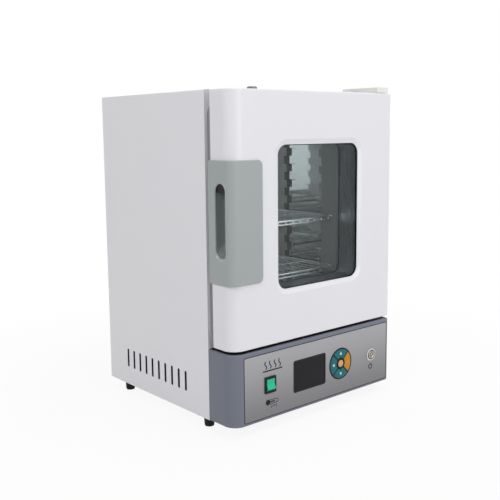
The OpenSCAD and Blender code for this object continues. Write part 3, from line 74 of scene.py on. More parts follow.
VIEW_AZIMUTH = math.radians(40.66)
VIEW_PITCH = math.radians(7.79)
VIEW_ROLL = math.radians(-0.57)
CAMERA_AT = (-1.0204, -1.2015, 0.5432)
LENS = 54.95
SENSOR = 36.0
SHIFT_X = -0.001
SHIFT_Y = -0.03


def add_camera():
    """Camera at the photograph's station, with its small roll and shift."""
    forward = Vector((
        math.sin(VIEW_AZIMUTH) * math.cos(VIEW_PITCH),
        math.cos(VIEW_AZIMUTH) * math.cos(VIEW_PITCH),
        -math.sin(VIEW_PITCH),
    ))
    level = Vector((math.cos(VIEW_AZIMUTH), -math.sin(VIEW_AZIMUTH), 0))
    upright = level.cross(forward)
    right = level * math.cos(VIEW_ROLL) + upright * math.sin(VIEW_ROLL)
    up = upright * math.cos(VIEW_ROLL) - level * math.sin(VIEW_ROLL)
    data = bpy.data.cameras.new("camera")
    data.lens = LENS
    data.sensor_width = SENSOR
    data.shift_x = SHIFT_X
    data.shift_y = SHIFT_Y
    camera = bpy.data.objects.new("camera", data)
    bpy.context.scene.collection.objects.link(camera)
    turn = Matrix((right, up, -forward)).transposed().to_4x4()
    camera.matrix_world = Matrix.Translation(CAMERA_AT) @ turn
    bpy.context.scene.camera = camera


# ---- Node helpers ----


class Tree:
    """Small wrapper that adds shader nodes, sets their options and links their sockets."""

    def __init__(self, tree):
        self.tree = tree
        tree.nodes.clear()

    def add(self, kind, **values):
        node = self.tree.nodes.new(kind)
        for key, value in values.items():
            setattr(node, key, value)
        return node

    def link(self, source, output, target, entry):
        self.tree.links.new(source.outputs[output], target.inputs[entry])


def coordinates(tree, stretch=(1, 1, 1)):
    """Object coordinates in metres, scaled along each axis."""
    where = tree.add("ShaderNodeTexCoord")
    mapping = tree.add("ShaderNodeMapping")
    mapping.inputs["Scale"].default_value = stretch
    tree.link(where, "Object", mapping, "Vector")
    return mapping


def noise(tree, stretch, scale, detail=2.0):
    mapping = coordinates(tree, stretch)
    texture = tree.add("ShaderNodeTexNoise")
    texture.inputs["Scale"].default_value = scale
    texture.inputs["Detail"].default_value = detail
    tree.link(mapping, "Vector", texture, "Vector")
    return texture


def scaled(tree, source, low, high):
    """Maps a noise value from its usual middle range to low..high."""
    spread = tree.add("ShaderNodeMapRange")
    spread.inputs["From Min"].default_value = 0.3
    spread.inputs["From Max"].default_value = 0.7
    spread.inputs["To Min"].default_value = low
    spread.inputs["To Max"].default_value = high
    tree.link(source, "Fac", spread, "Value")
    return spread


def surface(name, colour, rough, metal=0.0, vary=0.03, vary_scale=6.0, rough_vary=0.05, grain=900.0,
            grain_stretch=(1, 1, 1), bump=0.05, bump_depth=0.05 * MM, coat=0.0, specular=0.5,
            fade=None):
    """Principled material whose colour, gloss and relief vary by noise in metres.

    fade = (z0, z1, share) paints shade as a gradient in height: the colour times share at height
    z0, whole at z1.
    """
    material = bpy.data.materials.new(name)
    material.use_nodes = True
    tree = Tree(material.node_tree)
    shader = tree.add("ShaderNodeBsdfPrincipled")
    shader.inputs["Metallic"].default_value = metal
    shader.inputs["Specular IOR Level"].default_value = specular
    shader.inputs["Coat Weight"].default_value = coat
    shader.inputs["Coat Roughness"].default_value = 0.08
    cloud = noise(tree, (1, 1, 1), vary_scale, 3.0)
    ramp = tree.add("ShaderNodeMix", data_type="RGBA")
    ramp.inputs[6].default_value = [c * (1 - vary) for c in colour] + [1]
    ramp.inputs[7].default_value = [min(1, c * (1 + vary)) for c in colour] + [1]
    tree.link(cloud, "Fac", ramp, 0)
    # Painted shade: the colour darkens towards the bottom, by height in the object.
    if fade:
        split = tree.add("ShaderNodeSeparateXYZ")
        tree.link(coordinates(tree), "Vector", split, "Vector")
        height = tree.add("ShaderNodeMapRange", interpolation_type="SMOOTHSTEP")
        for entry, value in zip(("From Min", "From Max", "To Min", "To Max"), (*fade, 1.0)):
            height.inputs[entry].default_value = value
        tree.link(split, "Z", height, "Value")
        painted_shade_colour = tree.add("ShaderNodeVectorMath", operation="SCALE")
        tree.link(ramp, 2, painted_shade_colour, 0)
        tree.link(height, "Result", painted_shade_colour, "Scale")
        tree.link(painted_shade_colour, "Vector", shader, "Base Color")
    else:
        tree.link(ramp, 2, shader, "Base Color")
    fine = noise(tree, grain_stretch, grain, 3.0)
    gloss = scaled(tree, fine, max(0.02, rough - rough_vary), min(1, rough + rough_vary))
    tree.link(gloss, "Result", shader, "Roughness")
    relief = tree.add("ShaderNodeBump")
    relief.inputs["Strength"].default_value = bump
    relief.inputs["Distance"].default_value = bump_depth
    tree.link(fine, "Fac", relief, "Height")
    tree.link(relief, "Normal", shader, "Normal")
    out = tree.add("ShaderNodeOutputMaterial")
    tree.link(shader, "BSDF", out, "Surface")
    return material


# ---- Materials, one for each slot of the record ----

BRUSH_FLAT = (4, 160, 160)
BRUSH_UPRIGHT = (500, 500, 3)


def srgb(red, green, blue):
    """Linear colour of an sRGB colour given in 0..255."""
    def linear(value):
        value /= 255
        return value / 12.92 if value <= 0.04045 else ((value + 0.055) / 1.055) ** 2.4
    return [linear(red), linear(green), linear(blue)]


def brushed(name, colour, rough, stretch=BRUSH_FLAT, bump=0.12, rough_vary=0.09, fade=None):
    return surface(name, colour, rough, metal=1.0, vary=0.08, rough_vary=rough_vary, grain=9.0,
                   grain_stretch=stretch, bump=bump, bump_depth=0.06 * MM, fade=fade)


def glass_material():
    """Clear pane: a faint green tint with a polished reflection that grows at a glance."""
    material = bpy.data.materials.new("pane_glass")
    material.use_nodes = True
    tree = Tree(material.node_tree)
    clear = tree.add("ShaderNodeBsdfTransparent")
    clear.inputs["Color"].default_value = (0.980, 0.990, 0.990, 1)
    sheen = tree.add("ShaderNodeBsdfGlossy")
    sheen.inputs["Color"].default_value = (0.95, 0.96, 0.96, 1)
    film = noise(tree, (1, 1, 1), 14, 3.0)
    haze = scaled(tree, film, 0.015, 0.05)
    tree.link(haze, "Result", sheen, "Roughness")
    facing = tree.add("ShaderNodeLayerWeight")
    steep = tree.add("ShaderNodeMath", operation="POWER")
    steep.inputs[1].default_value = 5.0
    tree.link(facing, "Facing", steep, 0)
    share = tree.add("ShaderNodeMath", operation="MULTIPLY_ADD")
    share.inputs[1].default_value = 0.6
    share.inputs[2].default_value = 0.012
    tree.link(steep, "Value", share, 0)
    mix = tree.add("ShaderNodeMixShader")
    tree.link(share, "Value", mix, 0)
    tree.link(clear, "BSDF", mix, 1)
    tree.link(sheen, "BSDF", mix, 2)
    out = tree.add("ShaderNodeOutputMaterial")
    tree.link(mix, "Shader", out, "Surface")
    return material


def wool_material():
    """Loose glass fibre: long soft streaks over a warm pale ground."""
    return surface("glass_wool", [0.74, 0.64, 0.36], 0.95, vary=0.25, vary_scale=60, grain=26.0,
                   grain_stretch=(3, 30, 30), bump=0.8, bump_depth=1.5 * MM, rough_vary=0.03)


def slot_materials():
    white = srgb(229, 229, 233)
    steel = [0.70, 0.71, 0.715]
    return {
        "painted_white": surface("painted_white", white, 0.33, vary=0.012, grain=900, bump=0.10,
                                 bump_depth=0.04 * MM, coat=0.15),
        "zinc_plated": surface("zinc_plated", [0.55, 0.56, 0.57], 0.36, metal=1.0, vary=0.18,
                               vary_scale=55, grain=400, bump=0.1),
        "screw_steel": surface("screw_steel", [0.55, 0.56, 0.57], 0.28, metal=1.0, vary=0.1,
                               vary_scale=200, grain=900, bump=0.08),
        # The stainless carries painted shade: 0.82 of its colour below 0.30 m, whole above 0.50 m.
        "stainless": brushed("stainless", [0.77, 0.79, 0.79], 0.04, bump=0.003, rough_vary=0.015,
                             fade=(0.30, 0.50, 0.82)),
        "door_inner_stainless": brushed("door_inner_stainless", [0.40, 0.42, 0.445], 0.27,
                                        BRUSH_UPRIGHT, bump=0.02, rough_vary=0.05),
        "shelf_wire": surface("shelf_wire", [0.84, 0.85, 0.86], 0.16, metal=0.85, vary=0.08,
                              vary_scale=80, grain=700, bump=0.05),
        "heater_sheath": surface("heater_sheath", [0.20, 0.17, 0.15], 0.45, metal=0.9, vary=0.35,
                                 vary_scale=25, grain=500, bump=0.1),
        "glass_wool": wool_material(),
        "foot_rubber": surface("foot_rubber", srgb(14, 14, 15), 0.62, vary=0.15, vary_scale=80,
                               grain=1500, bump=0.3, specular=0.2),
        "gasket_silicone": surface("gasket_silicone", srgb(142, 138, 142), 0.6, vary=0.06,
                                   vary_scale=40, grain=1200, bump=0.2),
        "black_seal": surface("black_seal", srgb(14, 14, 16), 0.5, vary=0.1, grain=1500, bump=0.15,
                              specular=0.2),
        "pane_glass": glass_material(),
        "handle_plastic": surface("handle_plastic", srgb(160, 166, 166), 0.40, vary=0.02,
                                  grain=1400, bump=0.22, bump_depth=0.05 * MM),
        "housing_plastic": surface("housing_plastic", srgb(115, 119, 132), 0.30, vary=0.02,
                                   grain=1400, bump=0.15, bump_depth=0.05 * MM, specular=0.3),
        # The overlay carries painted shade: half its colour at the ground, whole at 0.16 m up.
        "overlay_silver": surface("overlay_silver", srgb(165, 165, 168), 0.42, metal=0.45,
                                  vary=0.03, vary_scale=9, grain=2400, bump=0.25,
                                  bump_depth=0.03 * MM, rough_vary=0.1, fade=(0.0, 0.16, 0.50)),
        "display_black": surface("display_black", srgb(26, 24, 28), 0.16, vary=0.08, grain=900,
                                 bump=0.0, rough_vary=0.03, specular=0.15),
        "black_plastic": surface("black_plastic", srgb(12, 12, 14), 0.4, vary=0.1, grain=1600,
                                 bump=0.15, specular=0.25),
        "key_teal": surface("key_teal", srgb(10, 104, 110), 0.34, vary=0.05, vary_scale=60,
                            grain=1500, bump=0.1, specular=0.25),
        "key_orange": surface("key_orange", srgb(192, 134, 34), 0.34, vary=0.05, vary_scale=60,
                              grain=1500, bump=0.1, specular=0.25),
        "key_copper": surface("key_copper", srgb(208, 160, 118), 0.36, vary=0.06, vary_scale=90,
                              grain=1500, bump=0.1),
        "rocker_green": surface("rocker_green", srgb(24, 186, 142), 0.22, vary=0.16,
                                vary_scale=260, grain=700, bump=0.15, coat=0.2, specular=0.25),
        "button_steel": surface("button_steel", [0.62, 0.61, 0.58], 0.24, metal=1.0, vary=0.08,
                                vary_scale=120, grain=120, grain_stretch=(1, 1, 8), bump=0.08),
        "board_green": surface("board_green", [0.01, 0.10, 0.05], 0.4, vary=0.2, vary_scale=120,
                               grain=600, bump=0.2),
        "module_grey": surface("module_grey", [0.06, 0.06, 0.06], 0.5, vary=0.1, grain=900,
                               bump=0.1),
        "relay_black": surface("relay_black", [0.05, 0.05, 0.055], 0.4, metal=0.8, vary=0.1,
                               grain=900, bump=0.1),
        "supply_cover": surface("supply_cover", [0.60, 0.60, 0.58], 0.35, metal=1.0, vary=0.08,
                                vary_scale=30, grain=600, bump=0.1),
        "cutout_body": surface("cutout_body", [0.08, 0.05, 0.04], 0.45, vary=0.1, grain=900,
                               bump=0.1),
        "cap_metal": surface("cap_metal", srgb(120, 122, 124), 0.35, metal=0.7, vary=0.08,
                             vary_scale=90, grain=900, bump=0.1),
        "bush_nylon": surface("bush_nylon", [0.75, 0.74, 0.68], 0.5, vary=0.03, grain=900,
                              bump=0.1),
    }


materials = slot_materials()


def dress(obj, slot_name):
    obj.data.materials.clear()
    obj.data.materials.append(materials[slot_name])


for part in frame["record"]["subparts"]:
    dress(nodes[part["node"]], part["material_slot"])
materials["cover_cream"] = surface("cover_cream", srgb(229, 230, 224), 0.4, vary=0.012, grain=1200,
                                   bump=0.15)
dress(nodes["hinge_cover"], "cover_cream")
materials["handle_lip"] = surface("handle_lip", srgb(164, 170, 170), 0.18, vary=0.02, grain=1400,
                                  bump=0.05, coat=0.4)
# A darker copy of the handle's plastic for the finger cup: painted shade in the recess.
materials["cup_painted_shade"] = surface("cup_painted_shade", srgb(126, 132, 133), 0.5, vary=0.02, grain=1400,
                                  bump=0.22)
materials["strip_steel"] = brushed("strip_steel", [0.72, 0.73, 0.735], 0.55, BRUSH_UPRIGHT,
                                   bump=0.02)
for node in ("shelf_strips_left", "shelf_strips_right"):
    dress(nodes[node], "strip_steel")


# ---- Mesh helpers ----


def new_piece(name, mesh, body, slot_name, smooth=True):
    """Links a mesh as a piece that rides on a body and takes a slot's finish."""
    obj = bpy.data.objects.new(name, mesh)
    bpy.context.scene.collection.objects.link(obj)
    dress(obj, slot_name)
    if smooth:
        for face in mesh.polygons:
            face.use_smooth = True
    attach(obj, body)
    return obj


def closed_mesh(name, verts, faces):
    """Mesh from vertices and faces, its normals turned outwards."""
    mesh = bpy.data.meshes.new(name)
    mesh.from_pydata(verts, [], faces)
    turn_outwards(mesh)
    return mesh


def turn_outwards(mesh):
    edit = bmesh.new()
    edit.from_mesh(mesh)
    bmesh.ops.recalc_face_normals(edit, faces=edit.faces)
    edit.to_mesh(mesh)
    edit.free()


def front_point(x, z, y):
    return (x * MM, y * MM, z * MM)


def rounded_rect(width, height, radius, steps=8):
    """Outline of a rectangle with round corners round its own centre, anticlockwise."""
    radius = max(radius, 0.01)
    outline = []
    for quarter, (sx, sz) in enumerate(((1, 1), (-1, 1), (-1, -1), (1, -1))):
        centre = (sx * (width / 2 - radius), sz * (height / 2 - radius))
        for step in range(steps + 1):
            angle = math.pi / 2 * (quarter + step / steps)
            outline.append((centre[0] + radius * math.cos(angle),
                            centre[1] + radius * math.sin(angle)))
    return outline


def circle(radius, steps=48):
    return [(radius * math.cos(2 * math.pi * i / steps), radius * math.sin(2 * math.pi * i / steps))
            for i in range(steps)]


def sector(inner, outer, web, steps=14):
    """Outline of a quarter ring that points up, its sides kept half a web off the diagonals."""
    def arc(radius, flip):
        half = math.pi / 4 - math.asin(web / 2 / radius)
        turns = [half * (2 * i / steps - 1) for i in range(steps + 1)]
        return [(radius * math.sin(-flip * t), radius * math.cos(t)) for t in turns]
    return arc(outer, 1) + arc(inner, -1)


def turned(outline, degrees):
    angle = math.radians(degrees)
    return [(x * math.cos(angle) - z * math.sin(angle), x * math.sin(angle) + z * math.cos(angle))
            for x, z in outline]


def loft(name, rings, centre, cap_front=True, cap_back=True):
    """Mesh through rings of (outline, y), each outline in (x, z) round the centre, in mm.

    With no caps, the last ring joins the first, so the piece is a closed frame.
    """
    verts, faces = [], []
    count = len(rings[0][0])
    closed = not cap_front and not cap_back
    for outline, y in rings:
        verts += [front_point(centre[0] + x, centre[1] + z, y) for x, z in outline]
    for ring in range(len(rings) - (0 if closed else 1)):
        for i in range(count):
            j = (i + 1) % count
            a, b = ring * count, (ring + 1) % len(rings) * count
            faces.append((a + i, a + j, b + j, b + i))
    if cap_back:
        faces.append(tuple(range(count))[::-1])
    if cap_front:
        faces.append(tuple(range((len(rings) - 1) * count, len(rings) * count)))
    return closed_mesh(name, verts, faces)


def soft_plate(name, inset_outline, centre, back, front, edge, crown=0.0, steps=4):
    """Plate from y = back to y = front whose front edge is round with radius edge.

    inset_outline(d) gives the outline moved inwards by d. The face rises by crown at its middle.
    """
    rings = [(inset_outline(0), back)]
    for step in range(steps + 1):
        angle = math.pi / 2 * step / steps
        rings.append((inset_outline(edge * (1 - math.cos(angle))),
                      front + edge * (1 - math.sin(angle))))
    if crown:
        for share in (0.35, 0.7, 1.0):
            rings.append((inset_outline(edge + share * crown * 6), front - crown * share))
    return loft(name, rings, centre)


def baked(obj):
    """Mesh of an object with its modifiers applied."""
    bpy.context.view_layer.update()
    graph = bpy.context.evaluated_depsgraph_get()
    return bpy.data.meshes.new_from_object(obj.evaluated_get(graph))


def softened(node, name, voxel, rounds):
    """Copy of a CAD node's mesh, remeshed and smoothed so that its edges become round."""
    copy = bpy.data.objects.new(name, nodes[node].data.copy())
    bpy.context.scene.collection.objects.link(copy)
    remesh = copy.modifiers.new("remesh", "REMESH")
    remesh.mode = "VOXEL"
    remesh.voxel_size = voxel
    smooth = copy.modifiers.new("smooth", "SMOOTH")
    smooth.factor = 0.5
    smooth.iterations = rounds
    thin = copy.modifiers.new("thin", "DECIMATE")
    thin.ratio = 0.35
    mesh = baked(copy)
    bpy.data.objects.remove(copy)
    return mesh


# ---- Handle: a soft-edged moulding that wraps the door's edge; its finger pocket gets painted shade ----


def add_handle():
    shell = new_piece("handle_shell", softened("door_handle", "handle_shell", 0.8 * MM, 4), "door",
                      "handle_plastic")
    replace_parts(shell, "door_handle")


add_handle()


# ---- Control panel ----

ROW_Z = sum(corner[2] for corner in span("keypad_base")) / 2 / MM
FACE_Y = span("control_overlay")[0][1] / MM
KEYPAD_X = sum(corner[0] for corner in span("keypad_base")) / 2 / MM
KEYPAD_D = (span("keypad_base")[1][0] - span("keypad_base")[0][0]) / MM
HUB_D = 19.0
WEB = 2.2
KEY_OUT = KEYPAD_D / 2 - 2.6
KEY_IN = HUB_D / 2 + WEB + 0.2


def add_key(node, piece, body, slot_name, turn):
    """Moulded key with a round edge and a slight crown."""
    low, high = span(node)

    def outline(inset):
        return turned(sector(KEY_IN + inset, KEY_OUT - inset, WEB + 0.4 + 2 * inset), turn)

    mesh = soft_plate(piece, outline, (KEYPAD_X, ROW_Z), high[1] / MM, low[1] / MM + 0.15, 0.7,
                      crown=0.15)
    key = new_piece(piece, mesh, body, slot_name)
    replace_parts(key, node)


def flat_sign(name, outlines, centre, front, body, slot_name, depth=0.12, back=0.25):
    """Thin printed sign: each outline is a small plate that stands a hair proud."""
    edit = bmesh.new()
    for outline in outlines:
        plate = loft(name, [(outline, front + back), (outline, front - depth)], centre)
        edit.from_mesh(plate)
        bpy.data.meshes.remove(plate)
    mesh = bpy.data.meshes.new(name)
    edit.to_mesh(mesh)
    edit.free()
    return new_piece(name, mesh, body, slot_name, smooth=False)


def bar(x0, z0, x1, z1, width):
    """Outline of a straight stroke between two points."""
    length = math.hypot(x1 - x0, z1 - z0)
    nx, nz = -(z1 - z0) / length * width / 2, (x1 - x0) / length * width / 2
    return [(x0 + nx, z0 + nz), (x0 - nx, z0 - nz), (x1 - nx, z1 - nz), (x1 + nx, z1 + nz)]


def stroke(points, width):
    """Outline of a curved stroke through points."""
    left, right = [], []
    for i, (x, z) in enumerate(points):
        ahead = points[min(i + 1, len(points) - 1)]
        behind = points[max(i - 1, 0)]
        length = math.hypot(ahead[0] - behind[0], ahead[1] - behind[1])
        nx, nz = -(ahead[1] - behind[1]) / length, (ahead[0] - behind[0]) / length
        left.append((x + nx * width / 2, z + nz * width / 2))
        right.append((x - nx * width / 2, z - nz * width / 2))
    return left + right[::-1]


def shifted(outline, dx, dz):
    return [(x + dx, z + dz) for x, z in outline]


def add_keypad():
    for node, body, slot_name, turn in (
        ("key_up", "up_key", "key_teal", 0),
        ("key_left", "left_key", "key_teal", 90),
        ("key_down", "down_key", "key_teal", 180),
        ("key_right", "right_key", "key_orange", 270),
    ):
        add_key(node, node + "_cap", body, slot_name, turn)
    low, high = span("key_centre")
    radius = (high[0] - low[0]) / 2 / MM
    mesh = soft_plate("key_centre_collar", lambda inset: circle(radius - inset),
                      (KEYPAD_X, ROW_Z), high[1] / MM, low[1] / MM + 0.5, 0.5)
    collar = new_piece("key_centre_collar", mesh, "centre_key", "black_plastic")
    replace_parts(collar, "key_centre")
    mesh = soft_plate("key_centre_cap", lambda inset: circle(radius * 0.78 - inset),
                      (KEYPAD_X, ROW_Z), low[1] / MM + 1, low[1] / MM + 0.3, 0.7, crown=0.3)
    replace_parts(new_piece("key_centre_cap", mesh, "centre_key", "key_copper"), "key_centre")
    face = span("key_up")[0][1] / MM
    middle = (KEY_IN + KEY_OUT) / 2
    arrow = [(-3.2, -2.4), (3.2, -2.4), (0, 3.6)]
    for node, body, turn, marks in (
        ("up", "up_key", 0, [arrow]),
        ("left", "left_key", 90, [arrow]),
        ("down", "down_key", 180, [arrow]),
        ("right", "right_key", 270, [bar(-2.6, z, 2.6, z, 0.9) for z in (1.2, -1.2)]),
    ):
        outlines = [turned(shifted(mark, 0, middle), turn) for mark in marks]
        slot_name = "key_copper" if node == "right" else "bush_nylon"
        flat_sign("sign_key_" + node, outlines, (KEYPAD_X, ROW_Z), face, body, slot_name)


def add_signs():
    """Printed signs where such a panel has words: heat waves, a thermometer, a power symbol."""
    waves = [bar(-24, -9.5, 24, -9.5, 2.4)]
    for dx in (-17, -6, 6, 17):
        waves.append(stroke([(dx + 2.2 * math.sin(math.pi * t / 8), 0.9 * t - 6)
                             for t in range(17)], 2.2))
    flat_sign("sign_heat", waves, (-117, ROW_Z + 36.0), FACE_Y, "cabinet", "black_plastic")
    shell = [(-4.0, 4.6), (-3.4, 22)]
    shell += [(-3.4 * math.cos(a / 8 * math.pi), 22 + 3.4 * math.sin(a / 8 * math.pi))
              for a in range(1, 8)]
    shell += [(3.4, 22), (4.0, 4.6)]
    marks = [circle(5.4, 28), stroke([(0, 2), (0, 17)], 2.4), stroke(shell, 1.2)]
    marks += [bar(7, z, 12 if z in (8, 20) else 10, z, 1.4) for z in (8, 12, 16, 20)]
    laid = [turned(shifted(mark, 0, -10), -90) for mark in marks]
    flat_sign("sign_temperature", laid, (-119, ROW_Z - 33.0), FACE_Y, "cabinet",
              "black_plastic")
    arc = [(3.6 * math.sin(a), 3.6 * math.cos(a))
           for a in [math.radians(35 + 290 * i / 24) for i in range(25)]]
    power = [[(1.35 * x, 1.35 * z) for x, z in mark]
             for mark in (stroke(arc, 1.5), bar(0, 0.8, 0, 5.2, 1.5))]
    flat_sign("sign_power", power, (154, ROW_Z - 24.5), FACE_Y, "cabinet", "black_plastic")


def slot_outline(width, height, grow, steps=12):
    """Outline of a round-ended upright slot, grown on all sides."""
    return rounded_rect(width + 2 * grow, height + 2 * grow, width / 2 + grow - 0.01, steps)


GRIP_W, GRIP_H = 29.0, 135.0
GRIP_Y = span("door_skin")[0][1] / MM + 26
GRIP_Z = sum(corner[2] for corner in span("door_handle")) / 2 / MM + 1.5
# Height of the black plate of painted shadow in the slot's top.
POCKET_SHADOW_H = 15.5
CUP_WALL = 0.3


def add_finger_pocket():
    """Rounded lip round the handle's finger slot, a scooped cup in a darker copy of the handle's
    plastic as painted shade, and a black plate in its top as painted shadow.
    """
    face = span("door_handle")[0][0] / MM

    def lining(name, steps, slot_name, cap=True):
        rings = [(shifted(slot_outline(GRIP_W, GRIP_H - rise, grow), GRIP_Y, GRIP_Z + rise / 2),
                  face + x) for grow, x, rise in steps]
        return new_piece(name, side_loft(name, rings, cap), "door", slot_name)

    lip = lining("slot_lip", ((1.9, 0.4, 0), (1.6, -0.1, 0), (1.1, -0.35, 0), (0.5, -0.4, 0),
                              (0.0, -0.1, 0.5), (-0.3, 0.8, 1.5), (-0.5, 2.2, 3.5),
                              (-0.5, 4.0, 6)), "handle_plastic", cap=False)
    dress(lip, "handle_lip")
    inner = ((-0.5, 3.9, 6), (-0.5, 4.1, 6.1), (-0.8, 8.0, 9.5), (-1.2, 12.0, 12),
             (-2.0, 18.0, 16), (-4.0, 21.5, 20), (-8.0, 23.6, 26), (-12.0, 24.2, 32))
    outer = tuple((grow + CUP_WALL, x + CUP_WALL, rise) for grow, x, rise in inner[:0:-1])
    outer += ((inner[0][0] + CUP_WALL, *inner[0][1:]),)
    cup = lining("finger_cup", outer + inner, "handle_plastic")
    # The cup's darker plastic is painted shade in the recess.
    dress(cup, "cup_painted_shade")
    # A black plate across the slot's top stands in for the shadow under the lip: painted shadow.
    radius, centre_z = GRIP_W / 2 - 0.9, GRIP_Z + (GRIP_H - GRIP_W) / 2
    start = math.asin((GRIP_W / 2 - POCKET_SHADOW_H) / radius)
    arc = [start + (math.pi - 2 * start) * i / 16 for i in range(17)]
    outline = [(GRIP_Y + radius * math.cos(a), centre_z + radius * math.sin(a)) for a in arc]
    mesh = side_loft("finger_painted_shadow", [(outline, face + 3.0), (outline, face + 14.0)], True)
    new_piece("finger_painted_shadow", mesh, "door", "black_plastic", smooth=False)


def add_display_bezel():
    """Black rounded border round the display's glass."""
    low, high = span("display_lens")
    centre = ((low[0] + high[0]) / 2 / MM, (low[2] + high[2]) / 2 / MM)
    width, height = (high[0] - low[0]) / MM, (high[2] - low[2]) / MM

    def outer(inset):
        return rounded_rect(width + 1.6 - 2 * inset, height + 1.6 - 2 * inset, 4.2 - inset)

    def inner(grow):
        return rounded_rect(width - 4.4 + 2 * grow, height - 4.4 + 2 * grow, 3.0 + grow)

    rings = [(outer(0), FACE_Y + 0.1), (outer(0), FACE_Y - 0.35), (outer(0.35), FACE_Y - 0.6),
             (inner(0.3), FACE_Y - 0.6), (inner(0), FACE_Y - 0.4), (inner(0), FACE_Y + 0.1)]
    mesh = loft("display_bezel", rings, centre, cap_front=False, cap_back=False)
    new_piece("display_bezel", mesh, "cabinet", "black_plastic", smooth=False)


# Black strip of painted shadow under the door.
PAINTED_SHADOW_INSET, PAINTED_SHADOW_WIDTH, PAINTED_SHADOW_TOP, PAINTED_SHADOW_EDGE = 5.0, 16.0, 1.1, 0.5
HOUSING_CORNER = 26.0


def add_gap_painted_shadow():
    """Black strip on the housing's top, along the front and left under the door's edge: painted
    shadow in the gap under the door.
    """
    low, high = span("control_housing")
    rear = span("front_frame")[0][1] / MM - 1.0
    x1, top = high[0] / MM - PAINTED_SHADOW_INSET, high[2] / MM

    def edge(set_back):
        x0, y0 = low[0] / MM + set_back, low[1] / MM + set_back
        radius = HOUSING_CORNER - set_back
        turns = [math.pi / 2 * i / 12 for i in range(13)]
        corner = [(x0 + radius * (1 - math.cos(a)), y0 + radius * (1 - math.sin(a)))
                  for a in turns]
        return [(x0, rear)] + corner + [(x1, y0)]

    verts, faces = [], []
    near, far = PAINTED_SHADOW_INSET, PAINTED_SHADOW_INSET + PAINTED_SHADOW_WIDTH
    courses = ((near, -0.2), (near, 0.7), (near + PAINTED_SHADOW_EDGE, PAINTED_SHADOW_TOP),
               (far - PAINTED_SHADOW_EDGE, PAINTED_SHADOW_TOP), (far, 0.7), (far, -0.2))
    for set_back, z in courses:
        verts += [(x * MM, y * MM, (top + z) * MM) for x, y in edge(set_back)]
    count = len(verts) // len(courses)
    for ring in range(len(courses)):
        a, b = ring * count, (ring + 1) % len(courses) * count
        faces += [(a + i, a + i + 1, b + i + 1, b + i) for i in range(count - 1)]
    faces += [tuple(range(0, len(verts), count)), tuple(range(count - 1, len(verts), count))]
    mesh = closed_mesh("gap_painted_shadow", verts, faces)
    new_piece("gap_painted_shadow", mesh, "cabinet", "black_seal", smooth=False)


def clusters(node, gap):
    """Boxes of a node's separate solids: its vertices grouped where less than gap apart."""
    groups = []
    for vertex in nodes[node].data.vertices:
        point = vertex.co
        for group in groups:
            low, high = group
            if all(low[i] - gap < point[i] < high[i] + gap for i in range(3)):
                for i in range(3):
                    low[i] = min(low[i], point[i])
                    high[i] = max(high[i], point[i])
                break
        else:
            groups.append((list(point), list(point)))
    return groups


def add_feet():
    """Turned rubber feet: a flared shoulder, round edges and a screw recess below."""
    verts, faces, steps = [], [], 40
    for low, high in clusters("feet", 30 * MM):
        cx, cy = (low[0] + high[0]) / 2, (low[1] + high[1]) / 2
        top, radius = high[2], (high[0] - low[0]) / 2
        foot = radius * 0.82
        profile = [(3.2 * MM, top - 5 * MM), (5 * MM, top - 5 * MM), (5 * MM, 0.0008),
                   (5.8 * MM, 0.0), (foot - 1.6 * MM, 0.0), (foot - 0.4 * MM, 0.5 * MM),
                   (foot, 1.8 * MM), (foot + 0.3 * MM, 4 * MM), (radius - 0.9 * MM, top - 3 * MM),
                   (radius - 0.1 * MM, top - 2 * MM), (radius, top - 1.2 * MM), (radius, top),
                   (3.2 * MM, top)]
        base, count = len(verts), len(profile)
        for step in range(steps):
            angle = 2 * math.pi * step / steps
            verts += [(cx + r * math.cos(angle), cy + r * math.sin(angle), z) for r, z in profile]
        for step in range(steps):
            a, b = base + step * count, base + (step + 1) % steps * count
            for i in range(count):
                j = (i + 1) % count
                faces.append((a + i, b + i, b + j, a + j))
    mesh = closed_mesh("rubber_feet", verts, faces)
    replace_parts(new_piece("rubber_feet", mesh, "cabinet", "foot_rubber"), "feet")


def add_button():
    """Push button turned from steel: a raised rim, a dished face and a black ring round it. The
    black ring round it is painted shade in the gap; the cap's darker steel and the black ring on
    its face are painted reflection of darker surroundings.
    """
    low, high = span("power_button_cap")
    centre = ((low[0] + high[0]) / 2 / MM, (low[2] + high[2]) / 2 / MM)
    radius, front, back = (high[0] - low[0]) / 2 / MM, low[1] / MM, high[1] / MM
    profile = [(1.0, back), (1.0, front + 0.5), (0.97, front + 0.15), (0.92, front),
               (0.84, front), (0.79, front + 0.3), (0.74, front + 0.8), (0.6, front + 0.95),
               (0.3, front + 0.75), (0.05, front + 0.7)]
    mesh = loft("button_cap", [(circle(radius * share), y) for share, y in profile], centre)
    # A darker copy of the button's steel: painted reflection.
    materials["button_painted_reflection"] = surface("button_painted_reflection", [0.40, 0.37, 0.33], 0.22, metal=1.0,
                                       vary=0.12, vary_scale=160, grain=120,
                                       grain_stretch=(1, 1, 8), bump=0.08)
    cap = new_piece("button_cap", mesh, "power_button", "button_steel")
    cap.data.materials[0] = materials["button_painted_reflection"]
    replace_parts(cap, "power_button_cap")
    body_low = span("power_button_body")[0][1] / MM
    # Black rings: painted shade in the gap round the cap, and a painted reflection on its face.
    for name, outer, inner, proud in (("button_groove_painted_shade", 1.22, 0.97, 0.14),
                                      ("button_ring_painted_reflection", 0.52, 0.40, -0.78)):
        y = (body_low if proud > 0 else front) - proud
        rings = [(circle(radius * outer), y + 0.3), (circle(radius * outer), y),
                 (circle(radius * inner), y), (circle(radius * inner), y + 0.3)]
        mesh = loft(name, rings, centre, cap_front=False, cap_back=False)
        body = "cabinet" if proud > 0 else "power_button"
        new_piece(name, mesh, body, "black_plastic", smooth=False)


